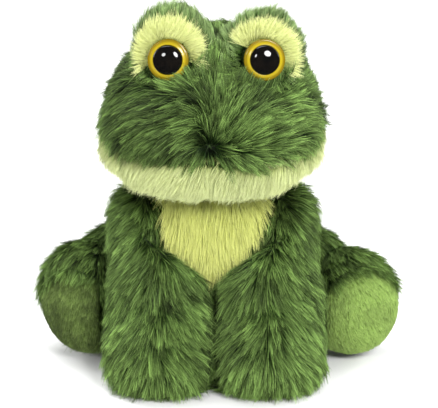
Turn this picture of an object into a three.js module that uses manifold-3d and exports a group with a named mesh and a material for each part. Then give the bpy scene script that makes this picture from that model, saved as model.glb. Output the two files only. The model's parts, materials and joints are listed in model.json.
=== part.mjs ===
// A plush frog that sits on its seat: fur fabric panels round fibre filling and pellet pouches.
// Millimetres, +Z up. The frog faces -Y, left is the side at -X, and it rests on the plane z = 0.
import * as THREE from 'three';
import { mergeVertices } from 'three/addons/utils/BufferGeometryUtils.js';
import Module from 'manifold-3d';

const wasm = await Module();
wasm.setup();

// Fabric, and the clearances between pieces
const pile = 8;
const velour = 3;
const seamWall = 3;
const pouchCloth = 1;
const pouchMouth = { radius: 4, depth: 4 };
const seamGap = 0.3;
const fillGap = 0.3;
const jointGap = 0.3;
const sweepGap = 2;
const threadGap = 0.5;
const lobeBlend = 4;
const overrun = 300;

// Facets of the forms, as steps along an edge of a twenty-sided ball
const headFacets = 6;
const torsoFacets = 3;
const limbFacets = 3;
const fillFacets = 1;
const roundFacets = 16;
const ringFacets = 18;
const threadSides = 6;

// Neck seam, where the head meets the torso. The head turns and nods about its centre.
const neck = { y: 4, z: 98 };
const neckRing = { radius: 20, thread: 1.4 };
const nodRange = THREE.MathUtils.degToRad(15);
const nodMargin = THREE.MathUtils.degToRad(1);

// Head lobes, from the neck's centre
const skull = { x: 0, y: -10, z: 43, rx: 54, ry: 47, rz: 41 };
const cheek = { x: 31.5, y: -16, z: 32, rx: 25, ry: 24, rz: 18 };
const jaw = { x: -1, y: -22, z: 22, rx: 55, ry: 37.5, rz: 20.5 };
const chin = { x: -1.5, y: -37, z: 15.5, rx: 44, ry: 22, rz: 15 };
const nape = { x: 0, y: 2, z: 22, rx: 38, ry: 30, rz: 18 };
const collar = { x: 0, y: 0, z: 6, rx: 30, ry: 26, rz: 14 };
const muzzle = { x: 23, y: -40, z: 36, rx: 30, ry: 26, rz: 20 };
const mound = { x: 25, y: -29, z: 71, rx: 19.5, ry: 21, rz: 21.5 };
const moundLift = { left: 3.5, right: 1.5 };
const moundOut = { left: -5, right: 1 };
const muzzleDrop = { left: 0, right: 3 };
const headCore = { x: 0, y: -16, z: 40 };

// Face: the mouth line, the eye domes and the pale lids round the eyes
const mouth = { z: 23.5, rise: 12, halfWidth: 57, backTop: -18, backBottom: 2 };
const mouthSag = { x: 20, width: 14, depth: 3.5 };
const moundSeam = { radius: 24, drop: 11.5 };
const lid = { x: 24, z: 70, radius: 17.5, back: 3, tilt: THREE.MathUtils.degToRad(32) };
const eye = { x: 22.7, z: 68, sink: 6.5, outward: 0.1, upward: 0.16 };
const eyeOut = { left: -2.5, right: 1 };
const iris = { radius: 10.2, rim: 1.6, dome: 3.4, rimRound: 0.6 };
const pupil = { radius: 7.2, seat: 1.2, dome: 5.6 };
const shank = { radius: 2.4, beyondWasher: 2 };
const washer = { radius: 7, thickness: 1.6, bore: 0.3 };

// Torso lobes, from the middle of the seat's plane
const belly = { x: 0, y: 16, z: 44, rx: 44, ry: 46, rz: 50 };
const chest = { x: 0, y: -2, z: 73, rx: 40, ry: 34, rz: 34 };
const upperBack = { x: 0, y: 12, z: 78, rx: 40, ry: 30, rz: 26 };
const rump = { x: 0, y: 20, z: 28, rx: 41, ry: 40, rz: 30 };
const torsoCore = { x: 0, y: 12, z: 54 };
const bib = { halfWidth: 37, tipX: -3, tipBelowNeck: 43 };
const seatPouchHeight = 18;
const closing = { y: 26, length: 26, thread: 1.2 };

// Shoulders: each front leg swings about the chest's cross axis on a round end.
// The upper arm is placed from the shoulder's centre, and the forearm and paw from the floor below it.
const shoulder = { x: 36, radius: 24, belowNeck: 1.5, face: 26 };
const upperArm = { x: -6, y: -11, z: -13, rx: 22, ry: 22, rz: 26 };
const shoulderCap = { x: 2.5, y: 0, z: 0, rx: 13.5, ry: 23.5, rz: 23.5 };
const shoulderTop = { x: 5.5, y: -3, z: 7, rx: 8.5, ry: 13, rz: 13 };
const forearm = { x: -9, y: -25, z: 40, rx: 29, ry: 23, rz: 34 };
const instep = { x: -9, y: -34, z: 27, rx: 28, ry: 25, rz: 21 };
const paw = { x: -9, y: -42, z: 15.5, rx: 29, ry: 26, rz: 19 };
const pawReach = { left: -2, right: 0 };
const frontCore = { x: -6, y: -22, z: 42.5 };
const frontSeam = { x: 28 };
const pawPouchHeight = 14;

// Hips: each hind leg swings about a cross axis on a round flat face
const hip = { x: 40, y: 36, z: 30, face: 34, radius: 33 };
const thigh = { x: 12, y: -4, z: 2, rx: 28, ry: 29, rz: 34 };
const shin = { x: 31, y: -24, z: 2, rx: 26, ry: 24, rz: 27 };
const foot = { x: 33, y: -35, z: -2, rx: 24, ry: 17, rz: 25 };
const footReach = { left: -9, right: 0 };
const shinLift = { left: 4, right: 0 };
const thighReach = { left: -2, right: -4 };
const hindCore = { x: 22, y: -18, z: 0 };
const sole = { y: -38, turn: THREE.MathUtils.degToRad(20), tilt: THREE.MathUtils.degToRad(12) };
const footPouchHeight = 16;

const shoulderCentre = { y: chest.y, z: neck.z - shoulder.radius - shoulder.belowNeck };
const sides = [['left', -1], ['right', 1]];

const finishes = {
  furGreen: new THREE.MeshStandardMaterial({ color: 0x55803d, roughness: 0.95, metalness: 0 }),
  furPale: new THREE.MeshStandardMaterial({ color: 0xd3dd96, roughness: 0.95, metalness: 0 }),
  furYellow: new THREE.MeshStandardMaterial({ color: 0xd6d878, roughness: 0.95, metalness: 0 }),
  velourGreen: new THREE.MeshStandardMaterial({ color: 0x86a955, roughness: 0.9, metalness: 0 }),
  fibre: new THREE.MeshStandardMaterial({ color: 0xf1efe8, roughness: 1, metalness: 0 }),
  pouch: new THREE.MeshStandardMaterial({ color: 0xdcdcd4, roughness: 0.8, metalness: 0 }),
  pellets: new THREE.MeshStandardMaterial({ color: 0xe9ebe8, roughness: 0.45, metalness: 0 }),
  thread: new THREE.MeshStandardMaterial({ color: 0x3c6130, roughness: 0.7, metalness: 0 }),
  amber: new THREE.MeshStandardMaterial({ color: 0xd8a520, roughness: 0.2, metalness: 0 }),
  black: new THREE.MeshStandardMaterial({ color: 0x080808, roughness: 0.08, metalness: 0 }),
  washer: new THREE.MeshStandardMaterial({ color: 0xe4e4e0, roughness: 0.5, metalness: 0 }),
};

// Solids from geometries, and back
function solidOf(geometry) {
  geometry.deleteAttribute('normal');
  geometry.deleteAttribute('uv');
  const merged = mergeVertices(geometry);
  return new wasm.Manifold(new wasm.Mesh({
    numProp: 3,
    vertProperties: new Float32Array(merged.getAttribute('position').array),
    triVerts: new Uint32Array(merged.getIndex().array),
  }));
}

function geometryOf(solid) {
  const { numProp, vertProperties, triVerts } = solid.getMesh();
  const points = new Float32Array((vertProperties.length / numProp) * 3);
  for (let i = 0; i < points.length; i += 1) {
    points[i] = vertProperties[Math.floor(i / 3) * numProp + (i % 3)];
  }
  const geometry = new THREE.BufferGeometry();
  geometry.setAttribute('position', new THREE.BufferAttribute(points, 3));
  geometry.setIndex([...triVerts]);
  geometry.computeVertexNormals();
  return geometry;
}

function without(solid, ...cutters) {
  return cutters.reduce((left, cutter) => left.subtract(cutter), solid);
}

// Soft forms: ellipsoid lobes that run into each other, seen as rays from one inner point
function lobeAt(anchor, size, side) {
  return {
    centre: new THREE.Vector3(side * (anchor.x + size.x), anchor.y + size.y, anchor.z + size.z),
    radii: new THREE.Vector3(size.rx, size.ry, size.rz),
  };
}

function distanceToLobe(point, { centre, radii }) {
  const offset = point.clone().sub(centre);
  const ratio = offset.clone().divide(radii);
  const slope = ratio.clone().divide(radii);
  return (ratio.length() * (ratio.length() - 1)) / Math.max(slope.length(), Number.EPSILON);
}

function distanceToForm(point, form) {
  const sum = form.lobes.reduce((all, lobe) => all + Math.exp(-distanceToLobe(point, lobe) / lobeBlend), 0);
  return -lobeBlend * Math.log(sum);
}

function reachAlong(form, start, direction, level) {
  const halvings = 40;
  let inside = 0;
  let outside = overrun;
  for (let i = 0; i < halvings; i += 1) {
    const middle = (inside + outside) / 2;
    const point = start.clone().addScaledVector(direction, middle);
    if (distanceToForm(point, form) < level) inside = middle;
    else outside = middle;
  }
  return (inside + outside) / 2;
}

function halfSpread(form) {
  const box = new THREE.Box3();
  for (const { centre, radii } of form.lobes) {
    box.expandByPoint(centre.clone().add(radii));
    box.expandByPoint(centre.clone().sub(radii));
  }
  return box.getSize(new THREE.Vector3()).divideScalar(2);
}

function grown(form, level, facets) {
  const ball = new THREE.IcosahedronGeometry(1, facets);
  ball.deleteAttribute('normal');
  ball.deleteAttribute('uv');
  const shape = mergeVertices(ball);
  const position = shape.getAttribute('position');
  const spread = halfSpread(form);
  for (let i = 0; i < position.count; i += 1) {
    const direction = new THREE.Vector3().fromBufferAttribute(position, i).multiply(spread).normalize();
    const reach = reachAlong(form, form.core, direction, level);
    position.setXYZ(i, ...form.core.clone().addScaledVector(direction, reach).toArray());
  }
  return solidOf(shape);
}

// Cutters
function slab(axis, from, to) {
  const size = new THREE.Vector3(2 * overrun, 2 * overrun, 2 * overrun);
  const middle = new THREE.Vector3();
  size[axis] = to - from;
  middle[axis] = (from + to) / 2;
  return solidOf(new THREE.BoxGeometry(...size.toArray()).translate(...middle.toArray()));
}

function beside(side, distance) {
  return side > 0 ? slab('x', distance, overrun) : slab('x', -overrun, -distance);
}

// An outline in Y and Z, extruded along X
function acrossX(outline, from, to) {
  const turn = new THREE.Matrix4().makeBasis(
    new THREE.Vector3(0, 1, 0),
    new THREE.Vector3(0, 0, 1),
    new THREE.Vector3(1, 0, 0),
  );
  const shape = new THREE.Shape(outline);
  const options = { depth: to - from, bevelEnabled: false };
  return solidOf(new THREE.ExtrudeGeometry(shape, options).applyMatrix4(turn).translate(from, 0, 0));
}

// An outline in X and Z, extruded along Y
function acrossY(outline, from, to) {
  const turn = new THREE.Matrix4().makeBasis(
    new THREE.Vector3(1, 0, 0),
    new THREE.Vector3(0, 0, 1),
    new THREE.Vector3(0, -1, 0),
  );
  const shape = new THREE.Shape(outline);
  const options = { depth: to - from, bevelEnabled: false };
  return solidOf(new THREE.ExtrudeGeometry(shape, options).applyMatrix4(turn).translate(0, to, 0));
}

function disc(centre, radius, side, faceDistance) {
  const round = new THREE.CylinderGeometry(radius, radius, overrun, ringFacets);
  round.rotateZ(Math.PI / 2);
  round.translate(side * (faceDistance + overrun / 2), centre.y, centre.z);
  return solidOf(round);
}

// A hole for such a disc, whose flats clear the disc at every turn
function socket(centre, radius, side, faceDistance) {
  return disc(centre, (radius + jointGap) / Math.cos(Math.PI / ringFacets), side, faceDistance);
}

function arcPoints(centre, radius, start, end, steps) {
  return Array.from({ length: steps + 1 }, (_, i) => {
    const angle = start + ((end - start) * i) / steps;
    return new THREE.Vector2(centre.x + radius * Math.cos(angle), centre.y + radius * Math.sin(angle));
  });
}

// Forms
const headAnchor = { x: 0, y: neck.y, z: neck.z };
const seatAnchor = { x: 0, y: 0, z: 0 };
const shoulderAnchor = { x: shoulder.x, y: shoulderCentre.y, z: shoulderCentre.z };
const pawAnchor = { x: shoulder.x, y: shoulderCentre.y, z: 0 };

function coreAt(anchor, core, side) {
  return new THREE.Vector3(side * (anchor.x + core.x), anchor.y + core.y, anchor.z + core.z);
}

function headForm() {
  const lobes = [skull, jaw, chin, nape, collar].map((size) => lobeAt(headAnchor, size, 1));
  for (const [name, side] of sides) {
    lobes.push(lobeAt(headAnchor, cheek, side));
    lobes.push(lobeAt(headAnchor, { ...muzzle, z: muzzle.z - muzzleDrop[name] }, side));
    const ownMound = { ...mound, x: mound.x + moundOut[name], z: mound.z + moundLift[name] };
    lobes.push(lobeAt(headAnchor, ownMound, side));
  }
  return { core: coreAt(headAnchor, headCore, 1), lobes };
}

function torsoForm() {
  const lobes = [belly, chest, upperBack, rump].map((size) => lobeAt(seatAnchor, size, 1));
  return { core: coreAt(seatAnchor, torsoCore, 1), lobes };
}

function frontLegForm(name, side) {
  const upper = [shoulderCap, shoulderTop, upperArm].map((size) => lobeAt(shoulderAnchor, size, side));
  const ownPawAnchor = { ...pawAnchor, x: pawAnchor.x + pawReach[name] };
  const lower = [forearm, instep, paw].map((size) => lobeAt(ownPawAnchor, size, side));
  return { core: coreAt(pawAnchor, frontCore, side), lobes: [...upper, ...lower] };
}

function hindLegForm(name, side) {
  const reach = footReach[name];
  const ownThigh = { ...thigh, x: thigh.x + thighReach[name] };
  const ownShin = { ...shin, x: shin.x + reach / 2, z: shin.z + shinLift[name] };
  const sizes = [ownThigh, ownShin, { ...foot, x: foot.x + reach }];
  return { core: coreAt(hip, hindCore, side), lobes: sizes.map((size) => lobeAt(hip, size, side)) };
}

// Envelopes: each form cut to its neighbours, and drawn in by an inset for the layers inside it.
// A limb's wall against the torso is only backing and seam, so it is drawn in less there.
function sewnInset(inset) {
  return Math.max(0, inset - pile + seamWall);
}

function underHead(inset) {
  const low = neck.z + jointGap + inset;
  const rise = Math.tan(nodRange + nodMargin) * overrun;
  return acrossX([
    new THREE.Vector2(-overrun, -overrun),
    new THREE.Vector2(neck.y + overrun, -overrun),
    new THREE.Vector2(neck.y + overrun, low + rise),
    new THREE.Vector2(neck.y, low),
    new THREE.Vector2(-overrun, low),
  ], -overrun, overrun);
}

function headEnvelope(inset, facets) {
  return without(grown(headForm(), -inset, facets), underHead(inset));
}

function torsoEnvelope(inset, facets) {
  const cutters = [slab('z', -overrun, inset), slab('z', neck.z - inset, overrun)];
  for (const [, side] of sides) {
    cutters.push(socket(shoulderCentre, shoulder.radius + inset, side, shoulder.face - inset));
    cutters.push(socket(hip, hip.radius + inset, side, hip.face - inset));
  }
  return without(grown(torsoForm(), -inset, facets), ...cutters);
}

// The round space that the front legs need to swing past the chest
function chestBarrel(inset) {
  const round = new THREE.SphereGeometry(1, ringFacets, ringFacets / 2).rotateZ(Math.PI / 2);
  const room = sweepGap + inset;
  round.scale(chest.rx + room, chest.ry + room, chest.rz + room);
  return solidOf(round.translate(chest.x, shoulderCentre.y, shoulderCentre.z));
}

function frontLegEnvelope(name, side, inset, facets) {
  const form = grown(frontLegForm(name, side), -inset, facets);
  const sewn = sewnInset(inset);
  const roundEnd = disc(shoulderCentre, shoulder.radius - sewn, side, shoulder.face + jointGap + sewn);
  const torso = grown(torsoForm(), jointGap + sewn, torsoFacets);
  const leg = without(form, torso, chestBarrel(sewn)).add(form.intersect(roundEnd));
  const middle = jointGap / 2 + inset;
  return without(leg, slab('z', -overrun, inset), beside(-side, -middle));
}

// What the front leg's round end leaves to the hind leg: nothing ahead of the hip face's circle
function sweptByHindLeg(inset) {
  const apart = Math.hypot(hip.y - shoulderCentre.y, hip.z - shoulderCentre.z);
  const upward = Math.atan2(shoulderCentre.z - hip.z, shoulderCentre.y - hip.y);
  const halfAngle = Math.asin((shoulder.radius + jointGap + inset) / apart);
  const top = upward - halfAngle;
  const bottom = (3 * Math.PI) / 2;
  const arcSteps = 8;
  const inner = arcPoints(new THREE.Vector2(hip.y, hip.z), hip.radius - inset, top, bottom, arcSteps);
  const outer = arcPoints(new THREE.Vector2(hip.y, hip.z), overrun, bottom, top, arcSteps);
  return [...inner, ...outer];
}

function hindLegEnvelope(name, side, inset, facets) {
  const form = grown(hindLegForm(name, side), -inset, facets);
  const sewn = sewnInset(inset);
  const clearOfTorso = beside(side, torsoReach + jointGap + sewn);
  const flatEnd = disc(hip, hip.radius - sewn, side, hip.face + jointGap + sewn);
  const leg = form.intersect(clearOfTorso).add(form.intersect(flatEnd));
  const clear = frontLegReach + jointGap + inset;
  const swept = side > 0
    ? acrossX(sweptByHindLeg(inset), -overrun, clear)
    : acrossX(sweptByHindLeg(inset), -clear, overrun);
  return without(leg, swept, slab('z', -overrun, inset));
}

function widestReach(solid) {
  return solid.boundingBox().max[0];
}

const torsoReach = widestReach(torsoEnvelope(0, torsoFacets));
const frontLegReach = widestReach(frontLegEnvelope('right', 1, 0, limbFacets));

// The frog, whose meshes the functions below add
const toy = new THREE.Group();
toy.name = 'plush_frog';

function addPiece(name, solid, finish) {
  const mesh = new THREE.Mesh(geometryOf(solid), finish.clone());
  mesh.name = name;
  toy.add(mesh);
}

// A pouch of cloth with a mouth at its top, and its pellets
function addPouch(name, envelope, height, mouthAt) {
  const top = pile + fillGap + height;
  const cloth = without(envelope(pile + fillGap), slab('z', top, overrun));
  const inset = pile + fillGap + pouchCloth;
  const hollow = without(envelope(inset), slab('z', top - pouchCloth, overrun));
  const { radius, depth } = pouchMouth;
  const mouth = new THREE.CylinderGeometry(radius, radius, 2 * depth, roundFacets / 2);
  mouth.rotateX(Math.PI / 2).translate(mouthAt.x, mouthAt.y, top);
  addPiece(`${name}_pouch`, without(cloth, hollow, solidOf(mouth)), finishes.pouch);
  const pellets = without(envelope(inset + fillGap), slab('z', top - pouchCloth - fillGap, overrun));
  addPiece(`${name}_pellets`, pellets, finishes.pellets);
}

function abovePouch(height) {
  return slab('z', pile + fillGap + height + fillGap, overrun);
}

// Eyes: each has its own frame, with +Y out of the head and its origin under the iris
function eyeFrame(name, side) {
  const outward = new THREE.Vector3(side * eye.outward, -1, eye.upward).normalize();
  const start = new THREE.Vector3(side * (eye.x + eyeOut[name]), neck.y + mound.y, neck.z + eye.z);
  const reach = reachAlong(headForm(), start, outward, -eye.sink);
  const turn = new THREE.Quaternion().setFromUnitVectors(new THREE.Vector3(0, 1, 0), outward);
  const place = start.addScaledVector(outward, reach);
  return new THREE.Matrix4().compose(place, turn, new THREE.Vector3(1, 1, 1));
}

function lathe(points, frame) {
  const outline = points.map(([radius, height]) => new THREE.Vector2(radius, height));
  return solidOf(new THREE.LatheGeometry(outline, roundFacets).applyMatrix4(frame));
}

function domePoints(radius, rimHeight, topHeight, steps) {
  return Array.from({ length: steps + 1 }, (_, i) => {
    const angle = (Math.PI / 2) * (i / steps);
    return [radius * Math.cos(angle), rimHeight + (topHeight - rimHeight) * Math.sin(angle)];
  });
}

function washerDepth() {
  return pile - eye.sink + fillGap;
}

function addEye(name, side) {
  const frame = eyeFrame(name, side);
  const tip = washerDepth() + washer.thickness + shank.beyondWasher;
  const domeSteps = 4;
  const irisShape = lathe([
    [0, -tip],
    [shank.radius, -tip],
    [shank.radius, 0],
    [iris.radius - iris.rimRound, 0],
    [iris.radius, iris.rimRound],
    [iris.radius, iris.rim],
    [pupil.radius + seamGap, iris.dome],
    [pupil.radius + seamGap, pupil.seat],
    [0, pupil.seat],
  ], frame);
  addPiece(`iris_${name}`, irisShape, finishes.amber);
  const seat = pupil.seat + seamGap;
  const pupilShape = lathe([
    [0, seat],
    [pupil.radius, seat],
    ...domePoints(pupil.radius, iris.dome, pupil.dome, domeSteps),
  ], frame);
  addPiece(`pupil_${name}`, pupilShape, finishes.black);
  const near = -washerDepth();
  const far = near - washer.thickness;
  const bore = shank.radius + washer.bore;
  const outline = [[bore, far], [washer.radius, far], [washer.radius, near], [bore, near], [bore, far]];
  addPiece(`eye_washer_${name}`, lathe(outline, frame), finishes.washer);
}

function eyePocket(name, side) {
  const frame = eyeFrame(name, side);
  const round = iris.radius + fillGap;
  const bore = shank.radius + washer.bore;
  const back = -washerDepth();
  const washerRoom = washer.radius + fillGap;
  const tip = washerDepth() + washer.thickness + shank.beyondWasher + fillGap;
  return lathe([
    [0, -tip],
    [bore, -tip],
    [bore, back - washer.thickness - fillGap],
    [washerRoom, back - washer.thickness - fillGap],
    [washerRoom, back + fillGap],
    [bore, back + fillGap],
    [bore, -fillGap],
    [round, -fillGap],
    [round, overrun / 2],
    [0, overrun / 2],
  ], frame);
}

// Head
function chinRegion(gap) {
  const steps = 12;
  const line = Array.from({ length: steps + 1 }, (_, i) => {
    const share = (2 * i) / steps - 1;
    const x = share * mouth.halfWidth;
    const sag = mouthSag.depth * Math.exp(-(((x - mouthSag.x) / mouthSag.width) ** 2));
    return new THREE.Vector2(x, neck.z + mouth.z + mouth.rise * share ** 4 - sag + gap);
  });
  const ends = [new THREE.Vector2(-overrun, line[0].y), new THREE.Vector2(overrun, line[0].y)];
  const floor = [new THREE.Vector2(overrun, 0), new THREE.Vector2(-overrun, 0)];
  const below = acrossY([ends[0], ...line, ends[1], ...floor], -overrun, overrun);
  const top = neck.z + mouth.z + mouth.rise + gap;
  const ahead = acrossX([
    new THREE.Vector2(-overrun, 0),
    new THREE.Vector2(neck.y + mouth.backBottom + gap, 0),
    new THREE.Vector2(neck.y + mouth.backBottom + gap, neck.z),
    new THREE.Vector2(neck.y + mouth.backTop + gap, top),
    new THREE.Vector2(-overrun, top),
  ], -overrun, overrun);
  return below.intersect(ahead);
}

function moundRegion(name, side, gap) {
  const centre = new THREE.Vector2(side * (mound.x + moundOut[name]), neck.z + mound.z + moundLift[name]);
  const steps = 14;
  const rim = arcPoints(centre, moundSeam.radius + gap, 0, 2 * Math.PI, steps).slice(0, -1);
  const round = acrossY(rim, -overrun, neck.y + mound.y + moundSeam.radius + gap);
  return without(round, slab('z', -overrun, centre.y - moundSeam.drop - gap));
}

function lidRegion(name, side, gap) {
  const centre = new THREE.Vector2(side * (lid.x + eyeOut[name]), neck.z + lid.z + moundLift[name]);
  const low = side > 0 ? -lid.tilt : lid.tilt;
  const steps = 12;
  const rim = arcPoints(centre, lid.radius + gap, low, low + Math.PI, steps);
  return acrossY(rim, -overrun, neck.y + mound.y - lid.back + gap);
}

function addHead() {
  const outer = headEnvelope(0, headFacets);
  const pockets = sides.map(([name, side]) => eyePocket(name, side));
  const shell = without(outer, headEnvelope(pile, fillFacets + 1), ...pockets);
  addPiece('chin_panel', shell.intersect(chinRegion(0)), finishes.furPale);
  let rest = shell.subtract(chinRegion(seamGap));
  for (const [name, side] of sides) {
    const ownHalf = beside(side, seamGap / 2);
    const ownMound = rest.intersect(moundRegion(name, side, 0)).intersect(ownHalf);
    addPiece(`eyelid_${name}`, ownMound.intersect(lidRegion(name, side, 0)), finishes.furPale);
    addPiece(`eye_mound_${name}`, ownMound.subtract(lidRegion(name, side, seamGap)), finishes.furGreen);
    addEye(name, side);
  }
  for (const [name, side] of sides) rest = rest.subtract(moundRegion(name, side, seamGap));
  for (const [name, side] of sides) {
    addPiece(`head_panel_${name}`, rest.intersect(beside(side, seamGap / 2)), finishes.furGreen);
  }
  const filling = without(headEnvelope(pile + fillGap, fillFacets + 1), ...pockets);
  addPiece('head_stuffing', filling, finishes.fibre);
}

// Torso
function ringChannel(clearance) {
  const low = neck.z - neckRing.thread - clearance;
  const high = neck.z + clearance;
  const half = neckRing.thread / 2 + clearance;
  const inner = neckRing.radius - half;
  const outer = neckRing.radius + half;
  const outline = [[inner, low], [outer, low], [outer, high], [inner, high], [inner, low]];
  const points = outline.map(([radius, height]) => new THREE.Vector2(radius, height));
  return solidOf(new THREE.LatheGeometry(points, ringFacets).rotateX(Math.PI / 2).translate(0, neck.y, 0));
}

function bibRegion(gap) {
  const top = new THREE.Vector2(bib.halfWidth + gap, neck.z + overrun);
  const corner = new THREE.Vector2(bib.halfWidth + gap, neck.z);
  const tip = new THREE.Vector2(bib.tipX, neck.z - bib.tipBelowNeck - gap);
  const mirror = (point) => new THREE.Vector2(-point.x, point.y);
  const outline = [tip, corner, top, mirror(top), mirror(corner)];
  return acrossY(outline, -overrun, chest.y + gap);
}

function closingSlot(clearance) {
  const half = closing.thread / 2 + clearance;
  const length = closing.length - closing.thread;
  const centre = new THREE.Vector2(0, closing.y - length / 2);
  const farCentre = new THREE.Vector2(0, closing.y + length / 2);
  const steps = 6;
  const outline = [
    ...arcPoints(centre, half, Math.PI, 2 * Math.PI, steps),
    ...arcPoints(farCentre, half, 0, Math.PI, steps),
  ];
  const height = closing.thread + 2 * clearance;
  const options = { depth: height, bevelEnabled: false };
  const slot = new THREE.ExtrudeGeometry(new THREE.Shape(outline), options);
  return solidOf(slot.translate(0, 0, threadGap - clearance));
}

function addTorso() {
  const cavity = torsoEnvelope(pile, fillFacets);
  const shell = without(torsoEnvelope(0, torsoFacets), cavity, ringChannel(threadGap));
  const seatTop = pile;
  const seat = shell.intersect(slab('z', -overrun, seatTop));
  addPiece('seat_panel', without(seat, closingSlot(threadGap)), finishes.furGreen);
  addPiece('closing_thread', closingSlot(0), finishes.thread);
  const walls = shell.subtract(slab('z', -overrun, seatTop + seamGap));
  addPiece('chest_bib', walls.intersect(bibRegion(0)), finishes.furYellow);
  const rest = walls.subtract(bibRegion(seamGap));
  for (const [name, side] of sides) {
    addPiece(`body_panel_${name}`, rest.intersect(beside(side, seamGap / 2)), finishes.furGreen);
  }
  const filling = torsoEnvelope(pile + fillGap, fillFacets);
  addPiece('body_stuffing', filling.intersect(abovePouch(seatPouchHeight)), finishes.fibre);
  const mouthAt = new THREE.Vector2(0, belly.y);
  addPouch('seat', (inset) => torsoEnvelope(inset, fillFacets), seatPouchHeight, mouthAt);
  const ring = new THREE.TorusGeometry(neckRing.radius, neckRing.thread / 2, threadSides, ringFacets);
  addPiece('neck_thread', solidOf(ring.translate(0, neck.y, neck.z - neckRing.thread / 2)), finishes.thread);
}

// Front legs
function addFrontLeg(name, side) {
  const part = `front_leg_${name}`;
  const envelope = (inset) => frontLegEnvelope(name, side, inset, fillFacets);
  const shell = frontLegEnvelope(name, side, 0, limbFacets).subtract(envelope(pile));
  const outerHalf = beside(side, frontSeam.x).add(disc(shoulderCentre, shoulder.radius, side, shoulder.face));
  const roundEnd = disc(shoulderCentre, shoulder.radius + seamGap, side, shoulder.face);
  const innerHalf = without(beside(-side, -frontSeam.x + seamGap), roundEnd);
  addPiece(`${part}_outer_panel`, shell.intersect(outerHalf), finishes.furGreen);
  addPiece(`${part}_inner_panel`, shell.intersect(innerHalf), finishes.furGreen);
  addPiece(`${part}_stuffing`, envelope(pile + fillGap).intersect(abovePouch(pawPouchHeight)), finishes.fibre);
  const pawX = shoulder.x + pawReach[name] + paw.x;
  const mouthAt = new THREE.Vector2(side * pawX, shoulderCentre.y + paw.y);
  addPouch(part, envelope, pawPouchHeight, mouthAt);
}

// Hind legs
function aheadOfSole(side, offset) {
  const plate = new THREE.BoxGeometry(2 * overrun, overrun, 2 * overrun);
  plate.translate(0, -overrun / 2 + offset, 0);
  plate.rotateX(sole.tilt).rotateZ(side * sole.turn);
  plate.translate(side * (hip.x + foot.x), hip.y + sole.y, hip.z);
  return solidOf(plate);
}

function addHindLeg(name, side) {
  const part = `hind_leg_${name}`;
  const envelope = (inset) => hindLegEnvelope(name, side, inset, fillFacets);
  const outer = hindLegEnvelope(name, side, 0, limbFacets);
  const behindSole = (inset) => envelope(inset).intersect(aheadOfSole(side, pile - velour));
  const cavity = envelope(pile).add(behindSole(velour));
  const shell = outer.subtract(cavity);
  addPiece(`${part}_fur`, shell.subtract(aheadOfSole(side, seamGap)), finishes.furGreen);
  addPiece(`${part}_sole`, shell.intersect(aheadOfSole(side, 0)), finishes.velourGreen);
  const filling = envelope(pile + fillGap);
  addPiece(`${part}_stuffing`, filling.intersect(abovePouch(footPouchHeight)), finishes.fibre);
  const mouthAt = new THREE.Vector2(side * (hip.x + shin.x), hip.y + shin.y);
  addPouch(part, envelope, footPouchHeight, mouthAt);
}

addHead();
addTorso();
for (const [name, side] of sides) {
  addFrontLeg(name, side);
  addHindLeg(name, side);
}

// The origin is the middle of the bottom of the whole frog
const bounds = new THREE.Box3().setFromObject(toy);
const middle = bounds.getCenter(new THREE.Vector3());
toy.position.set(-middle.x, -middle.y, -bounds.min.z);

export default toy;
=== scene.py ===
"""A plush frog: fur on stuffed skins, glossy eyes, filling, pouches and stitches. Metres, Z up."""
import json
import math
from dataclasses import dataclass

import bmesh
import bpy
import numpy as np
import openvdb
from mathutils import Matrix, Vector
from mathutils.bvhtree import BVHTree
from mathutils.kdtree import KDTree


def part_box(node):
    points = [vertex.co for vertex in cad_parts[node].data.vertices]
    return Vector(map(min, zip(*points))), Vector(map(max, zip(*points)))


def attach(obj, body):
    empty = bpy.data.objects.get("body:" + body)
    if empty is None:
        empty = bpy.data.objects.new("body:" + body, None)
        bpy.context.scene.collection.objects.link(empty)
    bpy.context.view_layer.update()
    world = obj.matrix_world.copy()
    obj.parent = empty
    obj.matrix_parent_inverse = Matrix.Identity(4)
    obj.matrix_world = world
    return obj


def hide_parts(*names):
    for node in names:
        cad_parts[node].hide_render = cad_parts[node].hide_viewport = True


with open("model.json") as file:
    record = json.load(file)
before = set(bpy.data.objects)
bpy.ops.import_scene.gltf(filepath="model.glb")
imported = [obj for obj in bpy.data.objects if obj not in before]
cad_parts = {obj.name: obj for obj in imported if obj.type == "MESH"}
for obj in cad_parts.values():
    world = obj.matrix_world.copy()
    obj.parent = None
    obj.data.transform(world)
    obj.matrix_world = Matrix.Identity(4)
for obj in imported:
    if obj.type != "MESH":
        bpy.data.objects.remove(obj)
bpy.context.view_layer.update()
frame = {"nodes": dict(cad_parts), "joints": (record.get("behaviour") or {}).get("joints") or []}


def node_box(name):
    """A CAD node's low and high corners."""
    return [np.array(corner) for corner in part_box(name)]


# Layers: the fur's tips reach the CAD surface, and the backing lies under them
BACKING_DEPTH = 0.0043
BACKING_THICKNESS = 0.0007
SEWN_DEPTH = 0.0026
NECK_DEPTH = 0.001
FLOOR_DEPTH = 0.003
GAP = 0.0003
SWEEP_GAP = 0.002
INNER_FACE = SEWN_DEPTH + GAP
LOBE_BLEND = 0.004
SKIN_STEP = 0.0016
BAND_STEPS = 3

# Where the CAD puts the neck, the shoulders and the hips
NECK_LOW, NECK_HIGH = node_box("neck_thread")
NECK = np.array([(NECK_LOW[0] + NECK_HIGH[0]) / 2, (NECK_LOW[1] + NECK_HIGH[1]) / 2, NECK_HIGH[2]])
PIVOTS = {joint["name"].removesuffix("_swing"): np.array(joint["pos_m"], float) for joint in frame["joints"]}
SIDES = (("left", -1), ("right", 1))
SEAT = np.array([NECK[0], NECK[1] - 0.004, 0.0])
TORSO_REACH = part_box("body_panel_right")[1][0] - SEAT[0]
FRONT_LEG_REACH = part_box("front_leg_right_outer_panel")[1][0] - SEAT[0]

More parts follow.
